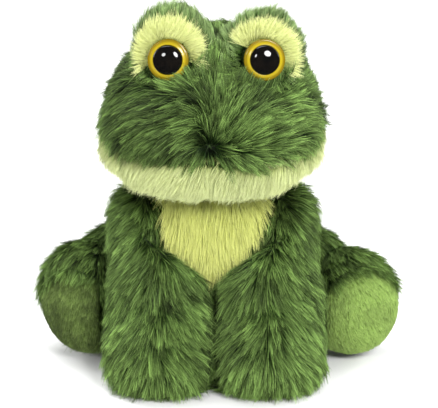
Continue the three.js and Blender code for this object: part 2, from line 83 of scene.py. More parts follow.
# Lobes, as x, y, z from their anchor and three radii
SKULL = (0, -0.010, 0.043, 0.054, 0.047, 0.041)
CHEEK = (0.0315, -0.016, 0.032, 0.025, 0.024, 0.018)
JAW = (-0.001, -0.022, 0.022, 0.055, 0.0375, 0.0205)
CHIN = (-0.0015, -0.037, 0.0155, 0.044, 0.022, 0.015)
NAPE = (0, 0.002, 0.022, 0.038, 0.030, 0.018)
COLLAR = (0, 0, 0.006, 0.030, 0.026, 0.014)
MUZZLE = {
    "left": (0.023, -0.040, 0.036, 0.030, 0.026, 0.020),
    "right": (0.023, -0.040, 0.033, 0.030, 0.026, 0.020),
}
MOUND = {
    "left": (0.020, -0.029, 0.0745, 0.0195, 0.021, 0.0215),
    "right": (0.026, -0.029, 0.0725, 0.0195, 0.021, 0.0215),
}
BELLY = (0, 0.016, 0.044, 0.044, 0.046, 0.050)
CHEST = (0, -0.002, 0.073, 0.040, 0.034, 0.034)
UPPER_BACK = (0, 0.012, 0.078, 0.040, 0.030, 0.026)
RUMP = (0, 0.020, 0.028, 0.041, 0.040, 0.030)
SHOULDER_CAP = (0.0025, 0, 0, 0.0135, 0.0235, 0.0235)
SHOULDER_TOP = (0.0055, -0.003, 0.007, 0.0085, 0.013, 0.013)
UPPER_ARM = (-0.006, -0.011, -0.013, 0.022, 0.022, 0.026)
FOREARM = (-0.009, -0.025, 0.040, 0.029, 0.023, 0.034)
INSTEP = (-0.009, -0.034, 0.027, 0.028, 0.025, 0.021)
PAW = (-0.009, -0.042, 0.0155, 0.029, 0.026, 0.019)
PAW_REACH = {"left": -0.002, "right": 0}
THIGH = {
    "left": (0.010, -0.004, 0.002, 0.028, 0.029, 0.034),
    "right": (0.008, -0.004, 0.002, 0.028, 0.029, 0.034),
}
SHIN = {
    "left": (0.0265, -0.024, 0.006, 0.026, 0.024, 0.027),
    "right": (0.031, -0.024, 0.002, 0.026, 0.024, 0.027),
}
FOOT = {
    "left": (0.024, -0.035, -0.002, 0.024, 0.017, 0.025),
    "right": (0.033, -0.035, -0.002, 0.024, 0.017, 0.025),
}

# Seams between a limb and the torso are round and flat: their radius, and how far out they lie
SHOULDER_RADIUS = 0.024
SHOULDER_FACE = 0.026
HIP_RADIUS = 0.033
HIP_FACE = 0.034
LIMB_SEAMS = {"front_leg": (SHOULDER_RADIUS, SHOULDER_FACE), "hind_leg": (HIP_RADIUS, HIP_FACE)}
HIP_LEAN_SHARE = 0.23
NOD_SLOPE = math.tan(math.radians(16))
UNDER_HEAD_SHARE = 1.25
OPEN_NECK = 0.010

# Face: the smile line and the nose seam are drawn in
MOUTH_HEIGHT = 0.0235
MOUTH_RISE = 0.012
MOUTH_HALF_WIDTH = 0.057
MOUTH_SAG = 0.0035
MOUTH_SAG_X = 0.020
MOUTH_SAG_WIDTH = 0.014
MOUTH_GROOVE = 0.0035
MOUTH_GROOVE_WIDTH = 0.0035
NOSE_GROOVE = 0.002
NOSE_GROOVE_WIDTH = 0.003
NOSE_GROOVE_SHARE = 0.7
NOSE_LOW = NECK[2] + 0.030
NOSE_HIGH = NECK[2] + 0.048
NOSE_PART_WIDTH = 0.003
SEAM_X = NECK[0] - 0.004
FACE_FRONT = (NECK[1] - 0.020, NECK[1] - 0.040)

# Eyes and soles
IRIS_RADIUS = 0.0102
IRIS_RIM = 0.0009
IRIS_RIM_END = 0.6 * math.pi
IRIS_HEIGHT = 0.0028
IRIS_SLOPE_POWER = 0.7
IRIS_SLOPE_SHARE = 0.15
PUPIL_SEAT = 0.0015
PUPIL_RADIUS = 0.0072
PUPIL_EDGE = 0.0003
PUPIL_RISE = 0.0026
SHANK_RADIUS = 0.0024
SHANK_LENGTH = 0.0074
WASHER_ROOM = 0.0078
WASHER_RIB_SHARES = (0.7, 0.66, 0.5, 0.46)
EYE_GAP = 0.0002
EYE_TURNS = 64
RIM_POINTS = 8
CROWN_POINTS = 24
ON_AXIS = 0.00002
EYE_CLEAR_RADIUS = 0.0098
EYE_CLEAR_DEPTH = 0.02
EYE_DENT = 0.0026
EYE_DENT_SHARE = 1.4
LID_RADIUS = 0.017
LID_END = {"left": math.radians(-8), "right": math.radians(30)}
SOLE_PILE = 0.0022
SOLE_Y = -0.038
SOLE_TURN = math.radians(20)
SOLE_TILT = math.radians(12)
SOLE_LEVEL = np.array([math.sin(SOLE_TURN), -math.cos(SOLE_TURN), 0]) * math.cos(SOLE_TILT)
SOLE_AHEAD = SOLE_LEVEL - np.array([0, 0, math.sin(SOLE_TILT)])

# Strands of fur, and how much they differ from each other
SEED = 20
STRAND_POINTS = 4
ALONG = np.linspace(0, 1, STRAND_POINTS)
MOST_STRANDS = 33000
TIP_WIDTH_SHARE = 0.2
TAPER_POWER = 1.6
ROLL_SPREAD = math.radians(70)
RISE_BEND_SHARE = 0.38
RUN_SHARES = (0.4, 0.6)
LOCK_TURN, LOCK_WAVE = 0.3, 0.038
TUFT_TURN, TUFT_WAVE = 0.18, 0.014
STRAND_TURN = 0.12
LENGTH_WAVE_SHARE, LENGTH_WAVE = 0.1, 0.017
LENGTH_SHARES = (0.6, 1.12)
LIFT_SHARES = (0.7, 1.15)
LEAN_SHARES = (0.7, 1.2)
WIDTH_SHARES = (0.6, 1.25)
JITTER_SHARE = 0.06
HOLD_POWER = 1.3
HOLD_SPREAD_SHARE = 0.25
MOST_HOLD_SHARE = 0.95
TUFT_SHADE_SHARE = 0.15
STRAND_SHADE_SHARE = 0.2
WAVE_SHADE_SHARE, SHADE_WAVE = 0.14, 0.045
SHADE_HALF_WIDTH = 0.004
# Three crossed waves: rate, bend, the bend's rate, and the turns of phase of both
CROSSED_WAVES = ((1.0, 1.7, 0.8, 1, 1), (0.9, 1.3, 1.1, 2, 3), (1.1, 1.5, 0.7, 1, 5))
UV_EDGE = 0.01
FLOOR_CLEARANCE = 0.0003

# What sets each pile apart from the long green one
MOUND_PILE = dict(length=0.0112, lift_share=0.7, lean_share=0.8)
LID_PILE = dict(length=0.0075, density=1.1e7, clump=0.0011, width=0.00026,
                lean_share=0.95, lift_share=0.6, hold_share=0.25)
CHIN_PILE = dict(length=0.0095, density=7e6, clump=0.0016, hold_share=0.25, noise_share=0.7)
BIB_PILE = dict(length=0.0125, density=6e6, clump=0.0018, hold_share=0.3, noise_share=0.8)
SEAT_PILE = dict(density=1.2e6, lift_share=0.3, lean_share=1.0)
FRONT_LEG_PILE = dict(lift_share=0.56, lean_share=1.0)
SOLE_VELOUR = dict(length=0.0030, density=9e6, clump=0.0014, width=0.00028, hold_share=0.25, noise_share=0.45)
LOOSE_FIBRE = dict(length=0.006, lift_share=0.1, lean_share=0.8, droop_share=0)

# Directions that the fur is combed in, as on the right side
COMB_FACE = np.array([-1, 0, -0.6])
COMB_BROW = np.array([-0.15, 0, 1])
COMB_RIDGE = np.array([0, 0.2, 1])
COMB_CHEEK = np.array([0, 1.0, -0.2])
COMB_NAPE = np.array([0, 0.35, -1.0])
COMB_TORSO = np.array([0, 0.28, -1.0])
COMB_SHIN = np.array([0.5, -0.1, -1.0])
COMB_KNEE = np.array([0.5, -1.0, -0.35])
COMB_SOLE = np.array([0.4, 0, -1.0])
LIP_SPREAD = 0.3
FRONT_SPREAD = 0.25
FRONT_LEAN = 0.1
CHIN_TURN = -0.5
RIM_OUT = 0.9
RIM_UP = 0.7
LEG_OUT = 0.8
LEG_AHEAD = -0.12
LEG_DOWN = -0.75
PAW_DOWN = -0.35

# Where the combing changes; a pair is where a change begins and where it is complete
FAN_START = NECK + np.array([-0.004, 0, 0.020])
RIDGE_LOW = NECK[2] + 0.040
RIDGE_RISE = 0.016
RIDGE_WIDTH = 0.012
FOREHEAD_BLEND = 0.016
LIP = (0.012, 0.001)
BELOW_EYE_SHARES = (0, -0.5)
EYE_DEPTHS = (0.03, 0.015)
CHEEKS = (NECK[1] - 0.040, NECK[1] - 0.012)
BACK_OF_HEAD = (NECK[1], NECK[1] + 0.028)
MOUND_RIDGE = (0.016, 0.004)
BEHIND_EYE = 0.008
NECK_RIM = (NECK[2] - 0.026, NECK[2] - 0.002)
SEAT_MIDDLE = np.array([0, 0.016, 0])
LEG_RIDGE = 0.0275
LEG_RIDGE_WIDTH = 0.012
PAW_TURN = (0.05, 0.01)
KNEE = (0.034, 0.05)

# Tints, as moves along the shades, and where they change; several are painted light or shade
FACE_TINT = 0.08
FACE_LEFT = (0.015, -0.015)
# Painted shade over the left of the face, as lit from the right
FACE_LEFT_SHADE = -0.17
# Painted shade in the groove of the nose seam
NOSE_SEAM_SHADE = -0.06
# Painted shade on the brow, darker toward the top of the head
BROW = (NECK[2] + 0.045, NECK[2] + 0.065)
BROW_SHADE = -0.14
PATCH_WAVE = 0.02
PATCH_TINT = 0.08
PATCH_LEFT_TINT = 0.12
# Painted light on the front paws, paler toward the floor
PAWS = (0.045, 0.012)
PAW_LIGHT = 0.14
# Painted shade at the edge of the gap between the front legs
CLEFT = (0.0115, 0.004)
CLEFT_SHADE = -0.8
# Painted shade on the left sole and painted light on the right sole, as lit from the right
SOLE_LIGHT_AND_SHADE = {"left": -0.36, "right": 0.28}
SOLE_PATCH_TINT, SOLE_PATCH_WAVE = 0.18, 0.03
SOLE_FLECK_TINT, SOLE_FLECK_WAVE = 0.07, 0.009

# Trims, as shares taken off or put on the length, and where they change
EYE_TRIM_SHARE = -0.45
EYE_TRIM_REACH_SHARE = 1.7
LIP_EDGE = 0.006
LIP_TRIM_SHARE = -0.5
LIP_TRIM_WIDTH = 0.012
RUFF = (NECK[2] + 0.022, NECK[2] + 0.010)
RUFF_BACK = (NECK[1] - 0.005, NECK[1] + 0.010)
RUFF_SHARE = 0.4
CUT_DEPTHS = (0.001, 0.004)
CUT_TRIM_SHARE = -0.6
BARE_ROOM = 0.003
FULL_ROOM = 0.012
MIDDLE = (0.0095, 0.004)
MIDDLE_TRIM_SHARE = 0.7
INNER_TRIM_SHARE = 0.3
BESIDE_SOLE = (-0.013, -0.001)
SHIN_FOOT = (0.046, 0.036)
SOLE_TRIM_SHARE = -0.72

# Fur that is pale over the eyelid and green at the back of its mound; the pale fur has paler tips of its own
# with painted backlight on them
FRINGE_SHARE = 0.2
FRINGE_LOW = (-0.004, 0.008)
FRINGE_BACK = (-0.034, -0.012)

# Inside
FILLING_GAP = 0.0016
FILLING_LUMP = 0.0012
FILLING_WAVE = 0.019
FIBRE_WIDTH = 0.00012
POINTS_PER_FIBRE = 4
POUCH_GAP = 0.0018
POUCH_CLOTH = 0.0005
POUCH_WRINKLE = 0.0005
POUCH_WAVE = 0.009
LAYER_GAP = 0.0006
PELLET_RADIUS = 0.0016
PELLET_SQUASH_SHARE = 0.8
PELLET_ROOM_SHARE = 1.06
THREAD_RADIUS = 0.0004
THREAD_SIDES = 8
STITCH_RISE = 0.00028
STITCH_POINTS = 8
STITCHES = 44
CLOSING_STITCHES = 9
CLOSING_ZIGZAG = 0.00045

# Stage
AIM = Vector((NECK[0] + 0.0031, SEAT[1], 0.085))
CAMERA_DISTANCE = 1.0
CAMERA_ELEVATION = math.radians(15)
CAMERA_LENS = 158.6
CAMERA_SENSOR = 36
LAMP_AIM = Vector((0, 0, 0.09))
FLOOR_HALF = 4.0
WORLD_STRENGTH = 0.7
# Lamps, as their place, diameter and watts
LAMPS = {
    "key": ((0.5, -1.2, 0.85), 0.55, 23),
    "fill": ((-0.6, -1.25, 0.75), 0.3, 5),
    "top": ((-0.2, 0.3, 1.3), 1.0, 12),
    "left rim": ((-1.2, 0.7, 0.6), 0.8, 9),
    "right rim": ((1.2, 0.7, 0.6), 0.8, 9),
}


def ease(low, high, value):
    share = np.clip((value - low) / (high - low), 0, 1)
    return share * share * (3 - 2 * share)


def blend(first, second, share):
    """Rows from first to second, by a share for each row."""
    return (1 - share[:, None]) * first + share[:, None] * second


def unit(vectors):
    lengths = np.linalg.norm(vectors, axis=-1, keepdims=True)
    return vectors / np.maximum(lengths, np.finfo(float).tiny)


def dots(a, b):
    return np.sum(a * b, axis=-1)


def columns(x, y, z):
    return np.stack(np.broadcast_arrays(x, y, z), axis=-1)


def mirrored_x(points, side):
    return side * (points[:, 0] - SEAT[0])


def mirrored(direction, side):
    return direction * np.array([side, 1, 1])


def around(points, pivot):
    return np.hypot(points[:, 1] - pivot[1], points[:, 2] - pivot[2])


# Stuffed forms as distances: below zero inside, smooth where lobes meet
def lobe(anchor, sizes, side=1):
    x, y, z, *radii = sizes
    return anchor + np.array([side * x, y, z]), np.array(radii)


def lobes_distance(points, lobes):
    total = 0
    for centre, radii in lobes:
        offset = points - centre
        ratio = np.maximum(np.linalg.norm(offset / radii, axis=1), np.finfo(float).eps)
        slope = np.linalg.norm(offset / radii**2, axis=1)
        outside = ratio * (ratio - 1) / np.maximum(slope, np.finfo(float).eps)
        inside = (ratio - 1) * np.linalg.norm(offset, axis=1) / ratio
        total = total + np.exp(-np.where(ratio > 1, outside, inside) / LOBE_BLEND)
    return -LOBE_BLEND * np.log(np.maximum(total, np.finfo(float).tiny))


def head_lobes():
    lobes = [lobe(NECK, sizes) for sizes in (SKULL, JAW, CHIN, NAPE, COLLAR)]
    for name, side in SIDES:
        lobes += [lobe(NECK, sizes, side) for sizes in (CHEEK, MUZZLE[name], MOUND[name])]
    return lobes


def torso_lobes():
    return [lobe(SEAT, sizes) for sizes in (BELLY, CHEST, UPPER_BACK, RUMP)]


def front_leg_lobes(name, side):
    shoulder = PIVOTS[f"front_leg_{name}"]
    floor = shoulder * np.array([1, 1, 0]) + np.array([side * PAW_REACH[name], 0, 0])
    upper = [lobe(shoulder, sizes, side) for sizes in (SHOULDER_CAP, SHOULDER_TOP, UPPER_ARM)]
    return upper + [lobe(floor, sizes, side) for sizes in (FOREARM, INSTEP, PAW)]


def hind_leg_lobes(name, side):
    hip = PIVOTS[f"hind_leg_{name}"]
    return [lobe(hip, sizes, side) for sizes in (THIGH[name], SHIN[name], FOOT[name])]


def mouth_height(points):
    x = points[:, 0] - NECK[0]
    sag = MOUTH_SAG * np.exp(-(((x - MOUTH_SAG_X) / MOUTH_SAG_WIDTH) ** 2))
    return NECK[2] + MOUTH_HEIGHT + MOUTH_RISE * np.clip(x / MOUTH_HALF_WIDTH, -1, 1) ** 4 - sag


def face_grooves(points):
    front = ease(*FACE_FRONT, points[:, 1])
    mouth = np.exp(-(((points[:, 2] - mouth_height(points)) / MOUTH_GROOVE_WIDTH) ** 2))
    low = ease(NOSE_HIGH, NOSE_LOW, points[:, 2]) * NOSE_GROOVE_SHARE
    nose = np.exp(-(((points[:, 0] - NECK[0]) / NOSE_GROOVE_WIDTH) ** 2)) * low
    return front * (MOUTH_GROOVE * mouth + NOSE_GROOVE * nose)


def node_points(name):
    return np.array([vertex.co for vertex in frame["nodes"][name].data.vertices])


def eye_frame(name):
    """Where an eye sits, and its axis, from the CAD washer and pupil."""
    start = node_points(f"eye_washer_{name}").mean(axis=0)
    axis = unit(node_points(f"pupil_{name}").mean(axis=0) - start)
    seat = dots(node_points(f"pupil_{name}") - start, axis).min()
    return start + (seat - PUPIL_SEAT) * axis, axis


def from_eye(points, name):
    """Each point's distance from the eye's axis, and its height along it."""
    origin, axis = eye_frame(name)
    offset = points - origin
    height = dots(offset, axis)
    return np.linalg.norm(offset - height[:, None] * axis, axis=1), height


def eye_dents(points):
    dents = 0
    for name, _ in SIDES:
        radius, height = from_eye(points, name)
        near = np.abs(height) < 2 * IRIS_RADIUS
        dents = dents + near * ease(EYE_DENT_SHARE * IRIS_RADIUS, IRIS_RADIUS, radius)
    return EYE_DENT * dents


def head_distance(points):
    form = lobes_distance(points, head_lobes()) + BACKING_DEPTH + face_grooves(points) + eye_dents(points)
    slope = NOD_SLOPE * np.maximum(points[:, 1] - NECK[1], 0)
    return np.maximum(form, NECK[2] + GAP + NECK_DEPTH + slope - points[:, 2])


def torso_distance(points):
    distance = lobes_distance(points, torso_lobes()) + BACKING_DEPTH
    distance = np.maximum(distance, FLOOR_DEPTH - points[:, 2])
    distance = np.maximum(distance, points[:, 2] - NECK[2] + NECK_DEPTH)
    for name, side in SIDES:
        x = mirrored_x(points, side)
        for limb, (radius, face) in LIMB_SEAMS.items():
            beyond = radius + SEWN_DEPTH - around(points, PIVOTS[f"{limb}_{name}"])
            distance = np.maximum(distance, np.minimum(beyond, x - face + SEWN_DEPTH))
    return distance


def front_leg_distance(name, side):
    lobes = front_leg_lobes(name, side)
    shoulder = PIVOTS[f"front_leg_{name}"]
    barrel = (np.array([SEAT[0], shoulder[1], shoulder[2]]), np.array(CHEST[3:]) + SWEEP_GAP)

    def distance(points):
        form = lobes_distance(points, lobes) + BACKING_DEPTH
        torso = GAP + SEWN_DEPTH - lobes_distance(points, torso_lobes())
        leg = np.maximum(np.maximum(form, torso), SEWN_DEPTH - lobes_distance(points, [barrel]))
        face = SHOULDER_FACE + GAP + SEWN_DEPTH - mirrored_x(points, side)
        end = np.maximum(np.maximum(form, face), around(points, shoulder) - SHOULDER_RADIUS + SEWN_DEPTH)
        inner = GAP / 2 + SEWN_DEPTH - mirrored_x(points, side)
        return np.maximum(np.maximum(np.minimum(leg, end), inner), FLOOR_DEPTH - points[:, 2])

    return distance


def hind_leg_distance(name, side):
    lobes = hind_leg_lobes(name, side)
    hip = PIVOTS[f"hind_leg_{name}"]

    def distance(points):
        x = mirrored_x(points, side)
        form = lobes_distance(points, lobes) + BACKING_DEPTH
        form = form - (BACKING_DEPTH - SOLE_PILE) * on_sole(points, name, side)
        leg = np.maximum(form, TORSO_REACH + GAP + SEWN_DEPTH - x)
        end = np.maximum(form, HIP_FACE + GAP + SEWN_DEPTH - x)
        end = np.maximum(end, around(points, hip) - HIP_RADIUS + SEWN_DEPTH)
        lean = HIP_LEAN_SHARE * np.maximum(points[:, 2] - hip[2], 0)
        ahead = np.minimum(around(points, hip) - HIP_RADIUS + SEWN_DEPTH, hip[1] - points[:, 1] - lean)
        swept = np.minimum(ahead, FRONT_LEG_REACH + GAP + SEWN_DEPTH - x)
        leg = np.maximum(np.minimum(leg, end), swept)
        return np.maximum(leg, FLOOR_DEPTH - points[:, 2])

    return distance


def ahead_of_sole(points, name, side):
    start = PIVOTS[f"hind_leg_{name}"] + np.array([side * FOOT["right"][0], SOLE_Y, 0])
    return dots(points - start, mirrored(SOLE_AHEAD, side))


def on_sole(points, name, side):
    """1 on the short pile of the sole, which is everything ahead of a plane, and 0 on the long pile."""
    return ease(-SOLE_PILE, 0, ahead_of_sole(points, name, side))


# Skins
def meshed(distance, low, high, step=SKIN_STEP):
    """The surface where a distance is zero, as points and four-sided faces that look outward."""
    low = low - 2 * step
    counts = np.ceil((high + 2 * step - low) / step).astype(int)
    axes = [low[i] + step * np.arange(counts[i]) for i in range(3)]
    places = np.stack(np.meshgrid(*axes, indexing="ij"), axis=-1).reshape(-1, 3)
    values = distance(places) / step
    grid = openvdb.FloatGrid(background=BAND_STEPS)
    grid.copyFromArray(np.clip(values, -BAND_STEPS, BAND_STEPS).reshape(counts))
    points, faces = grid.convertToQuads(isovalue=0)
    points, faces = low + step * points.astype(float), faces.astype(np.int64)
    corners = points[faces] - points.mean(axis=0)
    volume = dots(corners[:, 0], np.cross(corners[:, 1], corners[:, 2])).sum()
    return points, faces if volume > 0 else faces[:, ::-1]


def box_of(lobes):
    low = np.min([centre - radii for centre, radii in lobes], axis=0)
    high = np.max([centre + radii for centre, radii in lobes], axis=0)
    return low, high


def face_crosses(points, faces):
    corners = points[faces]
    return np.cross(corners[:, 2] - corners[:, 0], corners[:, 3] - corners[:, 1])


def vertex_normals(points, faces):
    crosses = face_crosses(points, faces)
    normals = np.zeros_like(points)
    for corner in range(faces.shape[1]):
        np.add.at(normals, faces[:, corner], crosses)
    return unit(normals)


def mesh_object(name, points, faces, uvs=None):
    mesh = bpy.data.meshes.new(name)
    count, corners = faces.shape
    mesh.vertices.add(len(points))
    mesh.vertices.foreach_set("co", points.astype(np.float32).ravel())
    mesh.loops.add(count * corners)
    mesh.loops.foreach_set("vertex_index", faces.astype(np.int32).ravel())
    mesh.polygons.add(count)
    mesh.polygons.foreach_set("loop_start", np.arange(count, dtype=np.int32) * corners)
    mesh.polygons.foreach_set("use_smooth", np.ones(count, bool))
    if uvs is not None:
        layer = mesh.uv_layers.new(name="OFBake")
        layer.data.foreach_set("uv", uvs[faces.ravel()].astype(np.float32).ravel())
    mesh.update(calc_edges=True)
    mesh.validate()
    return linked(name, mesh)


def linked(name, data):
    made = bpy.data.objects.new(name, data)
    bpy.context.scene.collection.objects.link(made)
    return made


def thicken(piece, thickness):
    thick = piece.modifiers.new("thickness", "SOLIDIFY")
    thick.thickness = thickness
    thick.offset = -1


def place(piece, body, material, node=None):
    """Gives a piece its material and body, and hides the CAD node that it stands for."""
    piece.data.materials.append(material)
    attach(piece, body)
    if node is not None:
        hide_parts(node)


def nearest_nodes(names, points):
    """The name's index, in names, of the CAD node whose surface is nearest to each point."""
    vertices, polygons, owners = [], [], []
    for index, name in enumerate(names):
        mesh = frame["nodes"][name].data
        start = len(vertices)
        vertices += [vertex.co.copy() for vertex in mesh.vertices]
        polygons += [[start + i for i in polygon.vertices] for polygon in mesh.polygons]
        owners += [index] * len(mesh.polygons)
    tree = BVHTree.FromPolygons(vertices, polygons)
    return np.array([owners[tree.find_nearest(Vector(point))[2]] for point in points])


class Skin:
    """One body's backing, as a mesh whose faces are shared out among the CAD panels."""

    def __init__(self, body, distance, lobes, panels):
        self.body = body
        self.panels = panels
        self.points, self.faces = meshed(distance, *box_of(lobes))
        self.normals = vertex_normals(self.points, self.faces)
        middles = self.points[self.faces].mean(axis=1)
        outward = unit(self.normals[self.faces].mean(axis=1))
        self.owner = nearest_nodes(panels, middles + BACKING_DEPTH * outward)

    def faces_of(self, panel):
        return self.faces[self.owner == self.panels.index(panel)]

    def patch(self, panel):
        faces = self.faces_of(panel)
        used, renumbered = np.unique(faces, return_inverse=True)
        return self.points[used], renumbered.reshape(faces.shape)

    def sample(self, panel, density, rng):
        """Roots at random over a panel, with their normals."""
        faces = self.faces_of(panel)
        areas = np.linalg.norm(face_crosses(self.points, faces), axis=1) / 2
        count = int(areas.sum() * density)
        chosen = faces[rng.choice(len(faces), count, p=areas / areas.sum())]
        u, v = rng.random((2, count))
        weights = np.column_stack([(1 - u) * (1 - v), u * (1 - v), u * v, (1 - u) * v])
        roots = np.einsum("nk,nkd->nd", weights, self.points[chosen])
        normals = unit(np.einsum("nk,nkd->nd", weights, self.normals[chosen]))
        return roots, normals


def add_backing(skin, panel, make):
    slot, material, _ = make
    backing = mesh_object(f"{panel}_backing", *skin.patch(panel))
    thicken(backing, BACKING_THICKNESS)
    place(backing, skin.body, material, panel)


# Fur
@dataclass
class Fur:
    """How one panel's fur grows. Flow and tint are functions of the roots; the tint carries tone and painted
    light and shade.
    """

    flow: object
    tint: object = None
    length: float = 0.0122
    density: float = 5.6e6
    clump: float = 0.0021
    width: float = 0.0003
    lift_share: float = 0.52
    lean_share: float = 1.04
    droop_share: float = 0.08
    hold_share: float = 0.55
    shade_share: float = 0.47
    noise_share: float = 1.0


def waves(points, wavelength, phase):
    """A soft pattern between about -1 and 1, the same at each run."""
    axes = points.T * (2 * math.pi / wavelength)
    total = 0
    for i, (rate, bend, bend_rate, bend_turns, turns) in enumerate(CROSSED_WAVES):
        bent = bend * np.sin(bend_rate * axes[i - 2] + bend_turns * phase)
        total = total + np.sin(rate * axes[i] + bent + turns * phase)
    return total / 3


def tangent(vectors, normals):
    return unit(vectors - dots(vectors, normals)[:, None] * normals)


def turned(vectors, normals, angles):
    across = np.cross(normals, vectors)
    return vectors * np.cos(angles)[:, None] + across * np.sin(angles)[:, None]


def clump_centres(roots, fur, rng):
    """For each root, the index of the root that its tuft gathers on."""
    chosen = np.flatnonzero(rng.random(len(roots)) < 1 / (fur.clump**2 * fur.density))
    tree = KDTree(len(chosen))
    for index in chosen:
        tree.insert(roots[index], index)
    tree.balance()
    return np.array([tree.find(root)[1] for root in roots])


def strands(roots, normals, fur, rng, length_share):
    """The strands' points, from root to tip, before they gather in tufts."""
    count = len(roots)
    flow = tangent(fur.flow(roots), normals)
    swirl = LOCK_TURN * waves(roots, LOCK_WAVE, 1) + TUFT_TURN * waves(roots, TUFT_WAVE, 2)
    flow = turned(flow, normals, swirl + rng.normal(0, STRAND_TURN, count))
    uneven = 1 + LENGTH_WAVE_SHARE * waves(roots, LENGTH_WAVE, 3)
    length = fur.length * length_share * uneven * rng.uniform(*LENGTH_SHARES, count)
    lift = fur.lift_share * rng.uniform(*LIFT_SHARES, count)
    lean = fur.lean_share * rng.uniform(*LEAN_SHARES, count)
    jitter = rng.normal(0, JITTER_SHARE, (count, 3))
    paths = np.empty((count, STRAND_POINTS, 3))
    for i, share in enumerate(ALONG):
        rise = lift * (share - RISE_BEND_SHARE * share**2)
        run = lean * (RUN_SHARES[0] * share + RUN_SHARES[1] * share**2)
        shape = rise[:, None] * normals + run[:, None] * flow + share * jitter
        shape[:, 2] -= fur.droop_share * share**2
        paths[:, i] = roots + length[:, None] * shape
    return paths


def gathered(paths, centres, hold):
    pull = hold[:, None] * ALONG**HOLD_POWER
    return paths + pull[:, :, None] * (paths[centres] - paths)


def ribbons(paths, normals, widths, shades, rng):
    """Flat tapered strands, rolled at random, with u for shade and v from root to tip."""
    count = len(paths)
    direction = unit(np.gradient(paths, axis=1))
    side = unit(np.cross(direction, normals[:, None, :]))
    roll = rng.uniform(-ROLL_SPREAD, ROLL_SPREAD, count)[:, None, None]
    side = side * np.cos(roll) + np.cross(direction, side) * np.sin(roll)
    taper = 1 - (1 - TIP_WIDTH_SHARE) * ALONG**TAPER_POWER
    half = (widths[:, None] * taper / 2)[:, :, None]
    points = np.stack([paths - half * side, paths + half * side], axis=2).reshape(-1, 3)
    points[:, 2] = np.maximum(points[:, 2], FLOOR_CLEARANCE)
    u = np.stack([shades - SHADE_HALF_WIDTH, shades + SHADE_HALF_WIDTH], axis=1)
    uvs = np.empty((count, STRAND_POINTS, 2, 2))
    uvs[..., 0] = u[:, None, :]
    uvs[..., 1] = (UV_EDGE + (1 - 2 * UV_EDGE) * ALONG)[:, None]
    start = np.arange(count)[:, None] * 2 * STRAND_POINTS
    step = 2 * np.arange(STRAND_POINTS - 1)[None, :]
    first = (start + step).ravel()
    faces = np.column_stack([first, first + 1, first + 3, first + 2])
    return points, faces, uvs.reshape(-1, 2)


def strand_shades(roots, fur, centres, rng):
    """Places on the ramp of shades: by tuft, by strand, by soft waves and by the panel's tint."""
    tuft = rng.normal(0, TUFT_SHADE_SHARE, len(roots))[centres]
    own = rng.normal(0, STRAND_SHADE_SHARE, len(roots))
    shades = fur.shade_share + fur.noise_share * (tuft + own + WAVE_SHADE_SHARE * waves(roots, SHADE_WAVE, 4))
    if fur.tint is not None:
        shades = shades + fur.tint(roots)
    return np.clip(shades, UV_EDGE, 1 - UV_EDGE)


def add_fur(skin, panel, make, fur, keep=None, length_share=None, kind="pile"):
    slot, _, material = make
    rng = np.random.default_rng([SEED, *panel.encode()])
    roots, normals = skin.sample(panel, fur.density, rng)
    if keep is not None:
        kept = keep(roots)
        roots, normals = roots[kept], normals[kept]
    share = np.ones(len(roots)) if length_share is None else length_share(roots)
    paths = strands(roots, normals, fur, rng, share)
    centres = clump_centres(roots, fur, rng)
    hold = np.clip(rng.normal(fur.hold_share, HOLD_SPREAD_SHARE, len(roots)), 0, MOST_HOLD_SHARE)
    paths = gathered(paths, centres, hold)
    shades = strand_shades(roots, fur, centres, rng)
    widths = fur.width * rng.uniform(*WIDTH_SHARES, len(roots))
    pieces = math.ceil(len(roots) / MOST_STRANDS)
    for piece in range(pieces):
        own = slice(piece, None, pieces)
        points, faces, uvs = ribbons(paths[own], normals[own], widths[own], shades[own], rng)
        place(mesh_object(f"{panel}_{kind}_{piece + 1}", points, faces, uvs), skin.body, material)


# Flows: the direction that the fur is combed in at each point
def away_from(centre):
    return lambda points: points - centre


def head_flow(points):
    """Fanned from the nose seam's foot on the right, combed down on the left, and back and down behind."""
    x = points[:, 0] - SEAM_X
    line = RIDGE_LOW + RIDGE_RISE * (1 - np.exp(-np.abs(x) / RIDGE_WIDTH))
    forehead = ease(line, line + FOREHEAD_BLEND, points[:, 2])
    fan = unit((points - FAN_START) * np.array([1, 0, 1]))
    flow = blend(blend(COMB_FACE, COMB_BROW, forehead), fan, (1 + np.tanh(x / NOSE_PART_WIDTH)) / 2)
    lip = ease(*LIP, points[:, 2] - mouth_height(points))
    flow = blend(flow, columns(LIP_SPREAD * np.tanh(x / RIDGE_WIDTH), 0, -1), lip)
    for name, _ in SIDES:
        radius, height = from_eye(points, name)
        offset = points - eye_frame(name)[0]
        below = ease(*BELOW_EYE_SHARES, offset[:, 2] / radius)
        under = below * ease(2 * IRIS_RADIUS, IRIS_RADIUS, radius)
        flow = blend(flow, unit(-offset), under * ease(*EYE_DEPTHS, np.abs(height)))
    flow = blend(flow, COMB_CHEEK, ease(*CHEEKS, points[:, 1]))
    return blend(flow, COMB_NAPE, ease(*BACK_OF_HEAD, points[:, 1]))


def mound_flow(centre):
    """Away from the eye, but up along the ridge between the mounds."""
    def flow(points):
        ridge = ease(*MOUND_RIDGE, np.abs(points[:, 0] - NECK[0]))
        return blend(unit(points - centre), COMB_RIDGE, ridge)

    return flow


def chin_flow(points):
    spread = FRONT_SPREAD * (points[:, 0] - NECK[0]) / MOUTH_HALF_WIDTH
    return columns(spread + CHIN_TURN, FRONT_LEAN, -1)


def bib_flow(points):
    spread = FRONT_SPREAD * (points[:, 0] - NECK[0]) / MOUTH_HALF_WIDTH
    return columns(-spread, -FRONT_LEAN, -1)


def torso_flow(points):
    """Down, and turning outward and up by the neck."""
    outward = unit((points - NECK) * np.array([1, 1, 0]))
    rim = ease(*NECK_RIM, points[:, 2])
    return blend(COMB_TORSO, RIM_OUT * outward + np.array([0, 0, RIM_UP]), rim)


